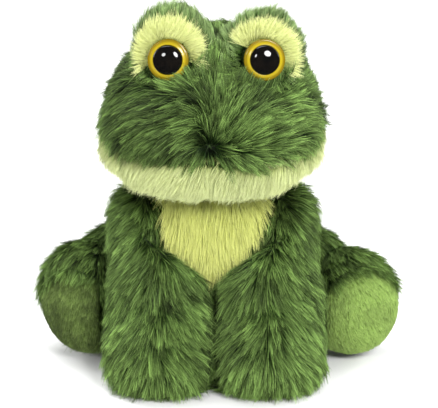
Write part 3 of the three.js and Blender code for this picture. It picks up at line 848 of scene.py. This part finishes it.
def front_leg_flow(side):
    """Outward from the ridge down the middle of the leg."""
    def flow(points):
        offset = np.tanh((mirrored_x(points, side) - LEG_RIDGE) / LEG_RIDGE_WIDTH)
        down = LEG_DOWN + PAW_DOWN * ease(*PAW_TURN, points[:, 2])
        return columns(side * LEG_OUT * offset, LEG_AHEAD, down)

    return flow


def hind_leg_flow(side):
    def flow(points):
        return blend(mirrored(COMB_SHIN, side), mirrored(COMB_KNEE, side), ease(*KNEE, points[:, 2]))

    return flow


# Materials
WHITE = (1, 1, 1, 1)
SRGB_FULL = 255
SRGB_BREAK = 0.04045
SRGB_SLOPE = 12.92
SRGB_OFFSET = 0.055
SRGB_POWER = 2.4
BODY_SHARE = 0.4
MIX_FIRST = 6
MIX_SECOND = 7
MIX_RESULT = 2
TONE_SHARES = (0.2, 0.8)
MIDDLE_TONE_SHARES = (0.3, 0.7)
KNIT_BUMP = 0.0004
FLUFF_BUMP = 0.0006
WEAVE_BUMP = 0.0002
FINE_BUMP = 0.0001


def set_inputs(node, **values):
    for name, value in values.items():
        node.inputs[name.replace("_", " ")].default_value = value


def new_material(name, roughness, specular, sheen=0.0):
    material = bpy.data.materials.new(name)
    material.use_nodes = True
    shader = material.node_tree.nodes["Principled BSDF"]
    set_inputs(shader, Roughness=roughness, Specular_IOR_Level=specular, Sheen_Weight=sheen)
    return material, material.node_tree.nodes, material.node_tree.links, shader


def linear(colour):
    """Linear values of an sRGB colour in 0 to 255."""
    shares = np.array(colour) / SRGB_FULL
    curved = ((shares + SRGB_OFFSET) / (1 + SRGB_OFFSET)) ** SRGB_POWER
    return (*np.where(shares <= SRGB_BREAK, shares / SRGB_SLOPE, curved), 1.0)


def grey(value):
    return (value, value, value, 1)


def ramp(nodes, stops):
    made = nodes.new("ShaderNodeValToRGB")
    elements = made.color_ramp.elements
    elements[0].position, elements[0].color = stops[0]
    elements[1].position, elements[1].color = stops[-1]
    for position, colour in stops[1:-1]:
        elements.new(position).color = colour
    return made


def split_uv(nodes, links):
    place_node = nodes.new("ShaderNodeUVMap")
    place_node.uv_map = "OFBake"
    split = nodes.new("ShaderNodeSeparateXYZ")
    links.new(place_node.outputs["UV"], split.inputs[0])
    return split


def fur_material(name, root, body, tip, dark, light, roughness=0.55, specular=0.12, sheen=0.0):
    """Colour from root to tip along v, multiplied by the strand's own shade along u. Dark roots are painted
    shade deep in the pile; pale tips are partly the fibres' own colour, partly painted glint.
    """
    material, nodes, links, shader = new_material(name, roughness, specular, sheen)
    split = split_uv(nodes, links)
    # Near-black roots are painted shade in the pile; pale tips are partly painted glint
    length = ramp(nodes, [(0.0, linear(root)), (BODY_SHARE, linear(body)), (1.0, linear(tip))])
    shade = ramp(nodes, [(0.0, grey(dark)), (0.5, WHITE), (1.0, grey(light))])
    mix = nodes.new("ShaderNodeMix")
    mix.data_type = "RGBA"
    mix.blend_type = "MULTIPLY"
    set_inputs(mix, Factor=1)
    links.new(split.outputs["Y"], length.inputs[0])
    links.new(split.outputs["X"], shade.inputs[0])
    links.new(length.outputs["Color"], mix.inputs[MIX_FIRST])
    links.new(shade.outputs["Color"], mix.inputs[MIX_SECOND])
    links.new(mix.outputs[MIX_RESULT], shader.inputs["Base Color"])
    return material


def textured(name, texture, scale, tones, at_shares=TONE_SHARES, bump_height=None, bump_share=1.0, **surface):
    """Colour, and bump where it has a height, from one procedural texture in object space."""
    material, nodes, links, shader = new_material(name, **surface)
    place_node = nodes.new("ShaderNodeTexCoord")
    pattern = nodes.new(texture)
    set_inputs(pattern, Scale=scale)
    colours = ramp(nodes, list(zip(at_shares, tones)))
    value = pattern.outputs["Distance"] if "Distance" in pattern.outputs else pattern.outputs["Fac"]
    links.new(place_node.outputs["Object"], pattern.inputs["Vector"])
    links.new(value, colours.inputs[0])
    links.new(colours.outputs["Color"], shader.inputs["Base Color"])
    if bump_height is not None:
        bump = nodes.new("ShaderNodeBump")
        set_inputs(bump, Distance=bump_height, Strength=bump_share)
        links.new(value, bump.inputs["Height"])
        links.new(bump.outputs["Normal"], shader.inputs["Normal"])
    return material


def backing_material(name, colour, darker):
    """Knitted backing: fine loops in colour and bump."""
    return textured(name, "ShaderNodeTexVoronoi", 900, (linear(colour), linear(darker)), (0.0, 0.6),
                    bump_height=KNIT_BUMP, bump_share=0.5, roughness=0.9, specular=0.2, sheen=0.2)


def inner_material(name, texture, scale, low, high, **surface):
    return textured(name, texture, scale, (linear(low), linear(high)), **surface)


def amber_material():
    """Rings from the shank to the pale rim, along v."""
    material, nodes, links, shader = new_material("amber", roughness=0.2, specular=0.4)
    split = split_uv(nodes, links)
    stops = ((0.0, (92, 76, 6)), (0.62, (112, 94, 8)), (0.7, (166, 146, 22)), (0.8, (176, 158, 34)),
             (0.88, (188, 170, 54)))
    rings = ramp(nodes, [(share, linear(colour)) for share, colour in stops])
    links.new(split.outputs["Y"], rings.inputs[0])
    links.new(rings.outputs["Color"], shader.inputs["Base Color"])
    return material


def black_material():
    tones = ((0.003, 0.003, 0.003, 1), (0.006, 0.005, 0.004, 1))
    return textured("black_dome", "ShaderNodeTexNoise", 300, tones, MIDDLE_TONE_SHARES,
                    roughness=0.05, specular=0.45)


def paper_material():
    tones = (grey(0.9), grey(0.93))
    return textured("paper", "ShaderNodeTexNoise", 40, tones, MIDDLE_TONE_SHARES, roughness=0.8, specular=0.2)


# Green pile: its near-black roots are painted shade in the pile, its pale tips partly painted glint
GREEN_FUR = fur_material("green_fur", (4, 11, 2), (19, 38, 7), (103, 129, 66), dark=0.08, light=3.0)
# Pale mound fur: tips paler of their own, with painted backlight and glint
MOUND_BACKLIT_FUR = fur_material("mound_backlit_fur", (14, 30, 5), (58, 88, 30), (142, 166, 106), dark=0.25, light=1.8)
LID_FUR = fur_material("lid_fur", (164, 172, 94), (202, 208, 132), (220, 226, 156), dark=0.88, light=1.1)
PALE_FUR = fur_material("pale_fur", (92, 112, 50), (170, 180, 112), (206, 214, 156), dark=0.7, light=1.2)
YELLOW_FUR = fur_material("yellow_fur", (140, 148, 66), (192, 197, 102), (216, 221, 134),
                          dark=0.75, light=1.15)
SOLE_FUR = fur_material("sole_pile", (50, 70, 22), (104, 130, 56), (140, 164, 90), dark=0.3, light=1.6,
                        roughness=0.6, specular=0.15, sheen=0.05)
GREEN_BACKING = backing_material("green_backing", (52, 76, 26), (30, 46, 14))
PALE_BACKING = backing_material("pale_backing", (186, 196, 104), (150, 160, 76))
YELLOW_BACKING = backing_material("yellow_backing", (196, 194, 92), (160, 158, 66))
SOLE_BACKING = backing_material("sole_backing", (128, 152, 76), (104, 128, 58))
AMBER = amber_material()
BLACK = black_material()
FIBRE = inner_material("fibre", "ShaderNodeTexNoise", 260, (214, 210, 200), (246, 244, 240),
                       bump_height=FLUFF_BUMP, roughness=0.95, specular=0.1, sheen=0.4)
CLOTH = inner_material("pouch_weave", "ShaderNodeTexBrick", 900, (196, 196, 188), (226, 226, 218),
                       bump_height=WEAVE_BUMP, roughness=0.85, specular=0.3)
PELLET = inner_material("pellet", "ShaderNodeTexNoise", 700, (214, 218, 214), (238, 240, 238),
                        bump_height=FINE_BUMP, roughness=0.35, specular=0.5)
WASHER = inner_material("washer", "ShaderNodeTexNoise", 500, (216, 216, 210), (234, 234, 230),
                        bump_height=FINE_BUMP, roughness=0.45, specular=0.5)
THREAD = inner_material("thread_twist", "ShaderNodeTexWave", 1600, (40, 66, 32), (74, 108, 58),
                        bump_height=FINE_BUMP, roughness=0.65, specular=0.3, sheen=0.2)
# What a panel is made of: its slot, backing and fur
GREEN = ("fur_green", GREEN_BACKING, GREEN_FUR)
MOUND_BACKLIT = ("fur_green", GREEN_BACKING, MOUND_BACKLIT_FUR)
LID = ("fur_pale", PALE_BACKING, LID_FUR)
PALE = ("fur_pale", PALE_BACKING, PALE_FUR)
YELLOW = ("fur_yellow", YELLOW_BACKING, YELLOW_FUR)
SOLE = ("sole_velour", SOLE_BACKING, SOLE_FUR)


# Eyes
def lathe(name, profile, origin, axis):
    """A smooth turned piece: the profile's pairs are radius and height along the axis."""
    turn = Vector((0, 0, 1)).rotation_difference(Vector(axis)).to_matrix().to_4x4()
    matrix = np.array(Matrix.Translation(Vector(origin)) @ turn)
    radii, heights = np.array(profile).T
    steps = len(radii)
    angles = np.linspace(0, 2 * math.pi, EYE_TURNS + 1)
    x = radii[None, :] * np.cos(angles)[:, None]
    y = radii[None, :] * np.sin(angles)[:, None]
    points = columns(x, y, heights[None, :]).reshape(-1, 3)
    lengths = np.append(0, np.cumsum(np.hypot(np.diff(radii), np.diff(heights))))
    around_share = np.repeat(angles / (2 * math.pi), steps)
    uvs = np.column_stack([around_share, np.tile(lengths / lengths[-1], EYE_TURNS + 1)])
    column = np.arange(EYE_TURNS)[:, None] * steps
    row = np.arange(steps - 1)[None, :]
    first = (column + row).ravel()
    faces = np.column_stack([first, first + steps, first + steps + 1, first + 1])
    return mesh_object(name, points @ matrix[:3, :3].T + matrix[:3, 3], faces, uvs)


def arc(radii, start, end, centre, count):
    return [(centre[0] + radii[0] * math.cos(angle), centre[1] + radii[1] * math.sin(angle))
            for angle in np.linspace(start, end, count)]


def iris_profile():
    """The shank, the round rim, the slope down to the pupil, and its seat."""
    flat = IRIS_RADIUS - IRIS_RIM
    inner = PUPIL_RADIUS + EYE_GAP
    shank = [(ON_AXIS, -SHANK_LENGTH), (SHANK_RADIUS, -SHANK_LENGTH), (SHANK_RADIUS, 0)]
    rim = arc((IRIS_RIM, IRIS_RIM), -math.pi / 2, IRIS_RIM_END, (flat, IRIS_RIM), RIM_POINTS)
    slope = []
    for share in np.linspace(IRIS_SLOPE_SHARE, 1, RIM_POINTS):
        height = 2 * IRIS_RIM + (IRIS_HEIGHT - 2 * IRIS_RIM) * share**IRIS_SLOPE_POWER
        slope.append((inner + (flat - inner) * (1 - share), height))
    seat = [(inner, PUPIL_SEAT - EYE_GAP), (ON_AXIS, PUPIL_SEAT - EYE_GAP)]
    return [*shank, *rim, *slope, *seat]


def pupil_profile():
    edge = (PUPIL_RADIUS, PUPIL_SEAT + PUPIL_EDGE)
    foot = [(ON_AXIS, PUPIL_SEAT), (PUPIL_RADIUS - PUPIL_EDGE, PUPIL_SEAT), edge]
    crown = arc((PUPIL_RADIUS, PUPIL_RISE), 0, math.pi / 2, (0, IRIS_HEIGHT), CROWN_POINTS)
    return [*foot, *crown[:-1], (ON_AXIS, IRIS_HEIGHT + PUPIL_RISE)]


def add_eye(name):
    iris = lathe(f"iris_{name}_disc", iris_profile(), *eye_frame(name))
    place(iris, "head", AMBER, f"iris_{name}")
    pupil = lathe(f"pupil_{name}_dome", pupil_profile(), *eye_frame(name))
    place(pupil, "head", BLACK, f"pupil_{name}")


def add_washer(name):
    """A dished push-on washer behind the eye."""
    points = node_points(f"eye_washer_{name}")
    _, axis = eye_frame(name)
    centre = points.mean(axis=0)
    heights = dots(points - centre, axis)
    radii = np.linalg.norm(points - centre - heights[:, None] * axis, axis=1)
    inner, outer, half = radii.min(), radii.max(), heights.max()
    edge = half / 2
    back = [(inner, -half), (outer - edge, -half), (outer, -half + edge)]
    front = [(outer, half - edge), (outer - edge, half)]
    rib_heights = (half, half - edge, half - edge, half)
    rib = [(outer * share, height) for share, height in zip(WASHER_RIB_SHARES, rib_heights)]
    profile = [*back, *front, *rib, (inner, half), (inner, -half)]
    made = lathe(f"eye_washer_{name}_disc", profile, centre, axis)
    place(made, "head", WASHER, f"eye_washer_{name}")


# Inside: filling, pouches of pellets and stitches
def filled_piece(node, kind, body, distance, material):
    points, faces = meshed(distance, *node_box(node))
    made = mesh_object(f"{node}_{kind}", points, faces)
    place(made, body, material, node)
    return made, points, faces


def add_filling(node, body, distance, above):
    """Lumpy fibre just inside the backing, above its pouch, with loose fibres on its surface."""
    def lumpy(points):
        lumps = FILLING_LUMP * (1 + waves(points, FILLING_WAVE, 2)) / 2
        return np.maximum(distance(points) + FILLING_GAP + lumps, above - points[:, 2])

    _, points, faces = filled_piece(node, "fibre", body, lumpy, FIBRE)
    rng = np.random.default_rng([SEED, *node.encode()])
    normals = vertex_normals(points, faces)
    chosen = rng.choice(len(points), len(points) // POINTS_PER_FIBRE, replace=False)
    fibres = Fur(lambda roots: rng.normal(0, 1, roots.shape), **LOOSE_FIBRE)
    inner = points[chosen] - FIBRE_WIDTH * normals[chosen]
    paths = strands(inner, normals[chosen], fibres, rng, 1)
    widths = np.full(len(chosen), FIBRE_WIDTH)
    shades = rng.uniform(0, 1, len(chosen))
    loose = mesh_object(f"{node}_loose_fibre", *ribbons(paths, normals[chosen], widths, shades, rng))
    place(loose, body, FIBRE)


def add_pouch(name, body, distance):
    """A thin cloth bag round loose pellets, both where the CAD has them."""
    low, high = node_box(f"{name}_pouch")

    def bag(points):
        wrinkles = POUCH_WRINKLE * (1 + waves(points, POUCH_WAVE, 1)) / 2
        sides = distance(points) + POUCH_GAP + wrinkles
        return np.maximum(np.maximum(sides, points[:, 2] - high[2] + wrinkles), low[2] - points[:, 2])

    cloth, _, _ = filled_piece(f"{name}_pouch", "bag", body, bag, CLOTH)
    thicken(cloth, POUCH_CLOTH)
    add_pellets(name, body, pellet_places(bag, low, high))


def pellet_places(bag, low, high):
    """Close-packed places inside the bag, a little shaken."""
    step = 2 * PELLET_RADIUS * PELLET_ROOM_SHARE
    spacings = np.array([step, step * math.sqrt(3) / 2, step * math.sqrt(2 / 3)])
    counts = [np.arange(math.ceil(count)) for count in (high - low) / spacings]
    i, j, k = np.meshgrid(*counts, indexing="ij")
    x = step * (i + 0.5 * ((j + k) % 2))
    y = spacings[1] * (j + (k % 2) / 3)
    places = low + columns(x, y, spacings[2] * k).reshape(-1, 3)
    places = places[bag(places) < -(PELLET_RADIUS + POUCH_CLOTH + GAP)]
    shake = np.random.default_rng(SEED).normal(0, step * (PELLET_ROOM_SHARE - 1) / 3, places.shape)
    return places + shake


def add_pellets(name, body, places):
    mesh = bmesh.new()
    bmesh.ops.create_icosphere(mesh, subdivisions=1, radius=PELLET_RADIUS)
    points = np.array([vertex.co for vertex in mesh.verts])
    faces = np.array([[vertex.index for vertex in face.verts] for face in mesh.faces])
    mesh.free()
    rng = np.random.default_rng(SEED)
    axes = unit(rng.normal(0, 1, (len(places), 3)))
    squash = (1 - PELLET_SQUASH_SHARE) * np.einsum("pk,nk->np", points, axes)
    beads = points[None] - squash[:, :, None] * axes[:, None, :] + places[:, None, :]
    starts = len(points) * np.arange(len(places))[:, None, None]
    made = mesh_object(f"{name}_loose_pellets", beads.reshape(-1, 3), (faces[None] + starts).reshape(-1, 3))
    place(made, body, PELLET, f"{name}_pellets")


def tube(name, path, radius, closed):
    """A round thread along a path of points."""
    ahead = np.roll(path, -1, axis=0) - np.roll(path, 1, axis=0) if closed else np.gradient(path, axis=0)
    ahead = unit(ahead)
    across = unit(np.cross(ahead, np.array([0, 0, 1])))
    above = np.cross(across, ahead)
    angles = 2 * math.pi * np.arange(THREAD_SIDES) / THREAD_SIDES
    ring = np.cos(angles)[None, :, None] * across[:, None] + np.sin(angles)[None, :, None] * above[:, None]
    points = (path[:, None] + radius * ring).reshape(-1, 3)
    rows = np.arange(len(path) if closed else len(path) - 1)[:, None] * THREAD_SIDES
    sides = np.arange(THREAD_SIDES)[None, :]
    first = rows + sides
    second = rows + (sides + 1) % THREAD_SIDES
    ahead_first = (first + THREAD_SIDES) % len(points)
    ahead_second = (second + THREAD_SIDES) % len(points)
    faces = np.stack([first, ahead_first, ahead_second, second], axis=-1).reshape(-1, 4)
    return mesh_object(name, points, faces)


def neck_path():
    """A ring of stitches that rise and fall."""
    centre = (NECK_LOW + NECK_HIGH) / 2
    size = NECK_HIGH - NECK_LOW
    radius = size[0] / 2 - size[2] / 2
    angles = np.linspace(0, 2 * math.pi, STITCHES * STITCH_POINTS, endpoint=False)
    rises = STITCH_RISE * np.sin(STITCHES * angles)
    return centre + columns(radius * np.cos(angles), radius * np.sin(angles), rises)


def closing_path():
    """A row of stitches from side to side over the closed gap."""
    low, high = node_box("closing_thread")
    centre = (low + high) / 2
    along = np.linspace(low[1] + THREAD_RADIUS, high[1] - THREAD_RADIUS, CLOSING_STITCHES * STITCH_POINTS)
    turns = np.linspace(0, 2 * math.pi * CLOSING_STITCHES, len(along))
    return columns(centre[0] + CLOSING_ZIGZAG * np.sin(turns), along, centre[2])


def add_thread(node, body, path, closed):
    place(tube(f"{node}_stitches", path, THREAD_RADIUS, closed), body, THREAD, node)


# Head
def eye_clear(roots):
    """True where fur may grow: outside the round of each eye, seen along its axis."""
    clear = np.ones(len(roots), bool)
    for name, _ in SIDES:
        radius, height = from_eye(roots, name)
        clear &= (radius > EYE_CLEAR_RADIUS) | (height < -EYE_CLEAR_DEPTH)
    return clear


def mottled_and_shaded(roots):
    """Patches of tone, stronger on the left of the face, and painted shade over the left of the face, on the
    brow and in the nose seam.
    """
    left = ease(*FACE_LEFT, roots[:, 0] - NECK[0])
    nose = ease(NOSE_HIGH, NOSE_LOW, roots[:, 2])
    seam = np.exp(-(((roots[:, 0] - SEAM_X) / NOSE_PART_WIDTH) ** 2)) * nose
    patches = (PATCH_TINT + PATCH_LEFT_TINT * left) * waves(roots, PATCH_WAVE, 6)
    brow = ease(*BROW, roots[:, 2])
    tint = patches + FACE_TINT + FACE_LEFT_SHADE * left + NOSE_SEAM_SHADE * seam + BROW_SHADE * brow
    return ease(*FACE_FRONT, roots[:, 1]) * tint


def head_share(roots):
    """Shares of the length: shorter by an eye and at the nose's foot, longer over the neck at the back."""
    share = np.ones(len(roots))
    for name, _ in SIDES:
        radius, _ = from_eye(roots, name)
        share *= 1 + EYE_TRIM_SHARE * ease(EYE_TRIM_REACH_SHARE * IRIS_RADIUS, IRIS_RADIUS, radius)
    lip = ease(LIP_EDGE, 0, roots[:, 2] - mouth_height(roots))
    share *= 1 + LIP_TRIM_SHARE * lip * np.exp(-(((roots[:, 0] - SEAM_X) / LIP_TRIM_WIDTH) ** 2))
    return share * (1 + RUFF_SHARE * ease(*RUFF, roots[:, 2]) * ease(*RUFF_BACK, roots[:, 1]))


def chance(roots):
    """The same even random share for each root whenever it is asked for."""
    return np.random.default_rng(SEED).random(len(roots))


def backlit_fringe(roots, name):
    """1 by the eyelid, falling to 0 over the mound's back: the share of pale fur with painted backlight."""
    centre, axis = eye_frame(name)
    above = FRINGE_SHARE + (1 - FRINGE_SHARE) * ease(*FRINGE_LOW, roots[:, 2] - centre[2])
    return above * ease(*FRINGE_BACK, dots(roots - centre, axis))


def lid_end(roots, name, side):
    """True on the mound's fur that carries the eyelid on at its inner end."""
    centre, _ = eye_frame(name)
    radius, height = from_eye(roots, name)
    angle = np.arctan2(roots[:, 2] - centre[2], -side * (roots[:, 0] - centre[0]))
    return (radius < LID_RADIUS) & (angle > LID_END[name]) & (angle < math.pi / 2) & (height > -LID_RADIUS)


def add_panel(skin, panel, make, fur, keep=None, length_share=None):
    add_backing(skin, panel, make)
    add_fur(skin, panel, make, fur, keep, length_share)


def add_mound(skin, name, side, fur, lid):
    """Fur that is pale beside the eyelid, with painted backlight on its tips, and turns to the head's green
    behind it.
    """
    panel = f"eye_mound_{name}"

    def end(roots):
        return eye_clear(roots) & lid_end(roots, name, side)

    def pale(roots):
        # Pale fur, whose tips carry painted backlight
        return eye_clear(roots) & ~end(roots) & (chance(roots) < backlit_fringe(roots, name))

    def green(roots):
        return eye_clear(roots) & ~end(roots) & ~pale(roots)

    add_panel(skin, panel, MOUND_BACKLIT, fur, pale, head_share)
    add_fur(skin, panel, GREEN, fur, green, head_share, "green_pile")
    if end(skin.patch(panel)[0]).any():
        add_fur(skin, panel, LID, lid, end, None, "lid_pile")


def inside_head(points):
    """The head with room behind each eye for its shank and washer."""
    distance = head_distance(points)
    for name, _ in SIDES:
        radius, height = from_eye(points, name)
        distance = np.maximum(distance, np.minimum(WASHER_ROOM - radius, height + SHANK_LENGTH + POUCH_GAP))
    return distance


def add_head():
    panels = ["head_panel_left", "head_panel_right", "chin_panel"]
    panels += [f"{part}_{name}" for part in ("eye_mound", "eyelid") for name, _ in SIDES]
    skin = Skin("head", head_distance, head_lobes(), panels)
    face = Fur(head_flow, tint=mottled_and_shaded)
    for name, side in SIDES:
        centre, axis = eye_frame(name)
        behind_eye = centre - BEHIND_EYE * axis
        lid = Fur(away_from(behind_eye), **LID_PILE)
        add_panel(skin, f"head_panel_{name}", GREEN, face, eye_clear, head_share)
        add_panel(skin, f"eyelid_{name}", LID, lid, eye_clear)
        add_mound(skin, name, side, Fur(mound_flow(behind_eye), **MOUND_PILE), lid)
        add_eye(name)
        add_washer(name)
    add_panel(skin, "chin_panel", PALE, Fur(chin_flow, **CHIN_PILE))
    add_filling("head_stuffing", "head", inside_head, 0)


# Torso
def outside_joints(roots):
    """False on the flat seams of the limbs, and under the head except where the back of the neck opens."""
    clear = np.ones(len(roots), bool)
    for name, side in SIDES:
        x = mirrored_x(roots, side)
        for limb, (radius, face) in LIMB_SEAMS.items():
            inside = around(roots, PIVOTS[f"{limb}_{name}"]) < radius
            clear &= ~(inside & (x > face - 2 * SEWN_DEPTH))
    under_head = (roots[:, 2] > NECK[2] - UNDER_HEAD_SHARE * NECK_DEPTH) & (roots[:, 1] < NECK[1] + OPEN_NECK)
    return clear & ~under_head


def add_inside(filling, pouch, body, distance):
    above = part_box(f"{pouch}_pouch")[1][2] + LAYER_GAP
    add_filling(filling, body, distance, above)
    add_pouch(pouch, body, distance)


def add_torso():
    panels = ["body_panel_left", "body_panel_right", "seat_panel", "chest_bib"]
    skin = Skin("torso", torso_distance, torso_lobes(), panels)
    for panel in panels[:2]:
        add_panel(skin, panel, GREEN, Fur(torso_flow), outside_joints)
    add_panel(skin, "chest_bib", YELLOW, Fur(bib_flow, **BIB_PILE), outside_joints)
    add_panel(skin, "seat_panel", GREEN, Fur(away_from(SEAT + SEAT_MIDDLE), **SEAT_PILE), outside_joints)
    add_inside("body_stuffing", "seat", "torso", torso_distance)


# Legs
def beside_torso(roots, lobes):
    """Shares of the length: shorter on the sides cut to the torso, where that leaves little room."""
    depth = -lobes_distance(roots, lobes) - BACKING_DEPTH
    room = ease(BARE_ROOM, FULL_ROOM, lobes_distance(roots, torso_lobes()))
    return 1 + CUT_TRIM_SHARE * ease(*CUT_DEPTHS, depth) * (1 - room)


def front_leg_light_and_shade(side):
    """Painted light making the paws paler toward the floor, and painted shade at the edge of the gap between
    the legs, but not on the flat face inside it.
    """
    def tint(roots):
        x = mirrored_x(roots, side)
        # Painted shade at the edge of the gap between the legs
        edge = ease(*CLEFT, x) * ease(INNER_FACE, INNER_FACE + GAP, x)
        return PAW_LIGHT * ease(*PAWS, roots[:, 2]) + CLEFT_SHADE * edge

    return tint


def add_front_leg(name, side):
    body = f"front_leg_{name}"
    panels = [f"{body}_outer_panel", f"{body}_inner_panel"]
    lobes = front_leg_lobes(name, side)
    skin = Skin(body, front_leg_distance(name, side), lobes, panels)

    def keep(roots):
        return mirrored_x(roots, side) > SEWN_DEPTH

    def share(roots):
        x = mirrored_x(roots, side)
        trim = MIDDLE_TRIM_SHARE - INNER_TRIM_SHARE * ease(INNER_FACE + GAP, INNER_FACE, x)
        return beside_torso(roots, lobes) * (1 - ease(*MIDDLE, x) * trim)

    fur = Fur(front_leg_flow(side), tint=front_leg_light_and_shade(side), **FRONT_LEG_PILE)
    for panel in panels:
        add_panel(skin, panel, GREEN, fur, keep, share)
    add_inside(f"{body}_stuffing", body, body, front_leg_distance(name, side))


def sole_nap_light_and_shade(name):
    """Brushed patches of nap, with painted shade on the left sole and painted light on the right sole."""
    def tint(roots):
        patches = SOLE_PATCH_TINT * waves(roots, SOLE_PATCH_WAVE, 5)
        return SOLE_LIGHT_AND_SHADE[name] + patches + SOLE_FLECK_TINT * waves(roots, SOLE_FLECK_WAVE, 7)

    return tint


def add_hind_leg(name, side):
    body = f"hind_leg_{name}"
    cover, sole = panels = [f"{body}_fur", f"{body}_sole"]
    lobes = hind_leg_lobes(name, side)
    skin = Skin(body, hind_leg_distance(name, side), lobes, panels)

    def keep(roots):
        free = lobes_distance(roots, torso_lobes()) > BARE_ROOM
        return (mirrored_x(roots, side) > HIP_FACE + 2 * SEWN_DEPTH) | free

    def share(roots):
        beside = ease(*BESIDE_SOLE, ahead_of_sole(roots, name, side))
        low = ease(*SHIN_FOOT, roots[:, 2])
        return beside_torso(roots, lobes) * (1 + SOLE_TRIM_SHARE * beside * low)

    velour = Fur(lambda roots: mirrored(COMB_SOLE, side), sole_nap_light_and_shade(name), **SOLE_VELOUR)
    add_panel(skin, cover, GREEN, Fur(hind_leg_flow(side)), keep, share)
    add_panel(skin, sole, SOLE, velour)
    add_inside(f"{body}_stuffing", body, body, hind_leg_distance(name, side))


# Stage
def add_camera():
    data = bpy.data.cameras.new("camera")
    data.lens = CAMERA_LENS
    data.sensor_width = CAMERA_SENSOR
    camera = linked("camera", data)
    back = Vector((0, -math.cos(CAMERA_ELEVATION), math.sin(CAMERA_ELEVATION)))
    camera.location = AIM + CAMERA_DISTANCE * back
    camera.rotation_euler = (-back).to_track_quat("-Z", "Y").to_euler()
    bpy.context.scene.camera = camera


def add_lamp(name, location, diameter, watts):
    data = bpy.data.lights.new(name, "AREA")
    data.shape = "ELLIPSE"
    data.size, data.size_y = diameter, diameter
    data.energy = watts
    lamp = linked(name, data)
    lamp.location = location
    lamp.rotation_euler = (LAMP_AIM - Vector(location)).to_track_quat("-Z", "Y").to_euler()


def add_floor():
    half = FLOOR_HALF
    corners = np.array([[-half, -half, 0], [half, -half, 0], [half, half, 0], [-half, half, 0]])
    floor = mesh_object("floor", corners, np.array([[0, 1, 2, 3]]))
    floor.data.materials.append(paper_material())
    floor.visible_glossy = False


def add_world():
    world = bpy.data.worlds.new("studio")
    world.use_nodes = True
    set_inputs(world.node_tree.nodes["Background"], Color=WHITE, Strength=WORLD_STRENGTH)
    world.cycles_visibility.glossy = False
    bpy.context.scene.world = world
    bpy.context.scene.view_settings.view_transform = "Standard"


add_camera()
add_world()
for lamp_name, lamp_sizes in LAMPS.items():
    add_lamp(lamp_name, *lamp_sizes)
add_floor()
add_thread("neck_thread", "neck", neck_path(), True)
add_thread("closing_thread", "torso", closing_path(), False)
add_head()
add_torso()
for side_name, side_sign in SIDES:
    add_front_leg(side_name, side_sign)
    add_hind_leg(side_name, side_sign)
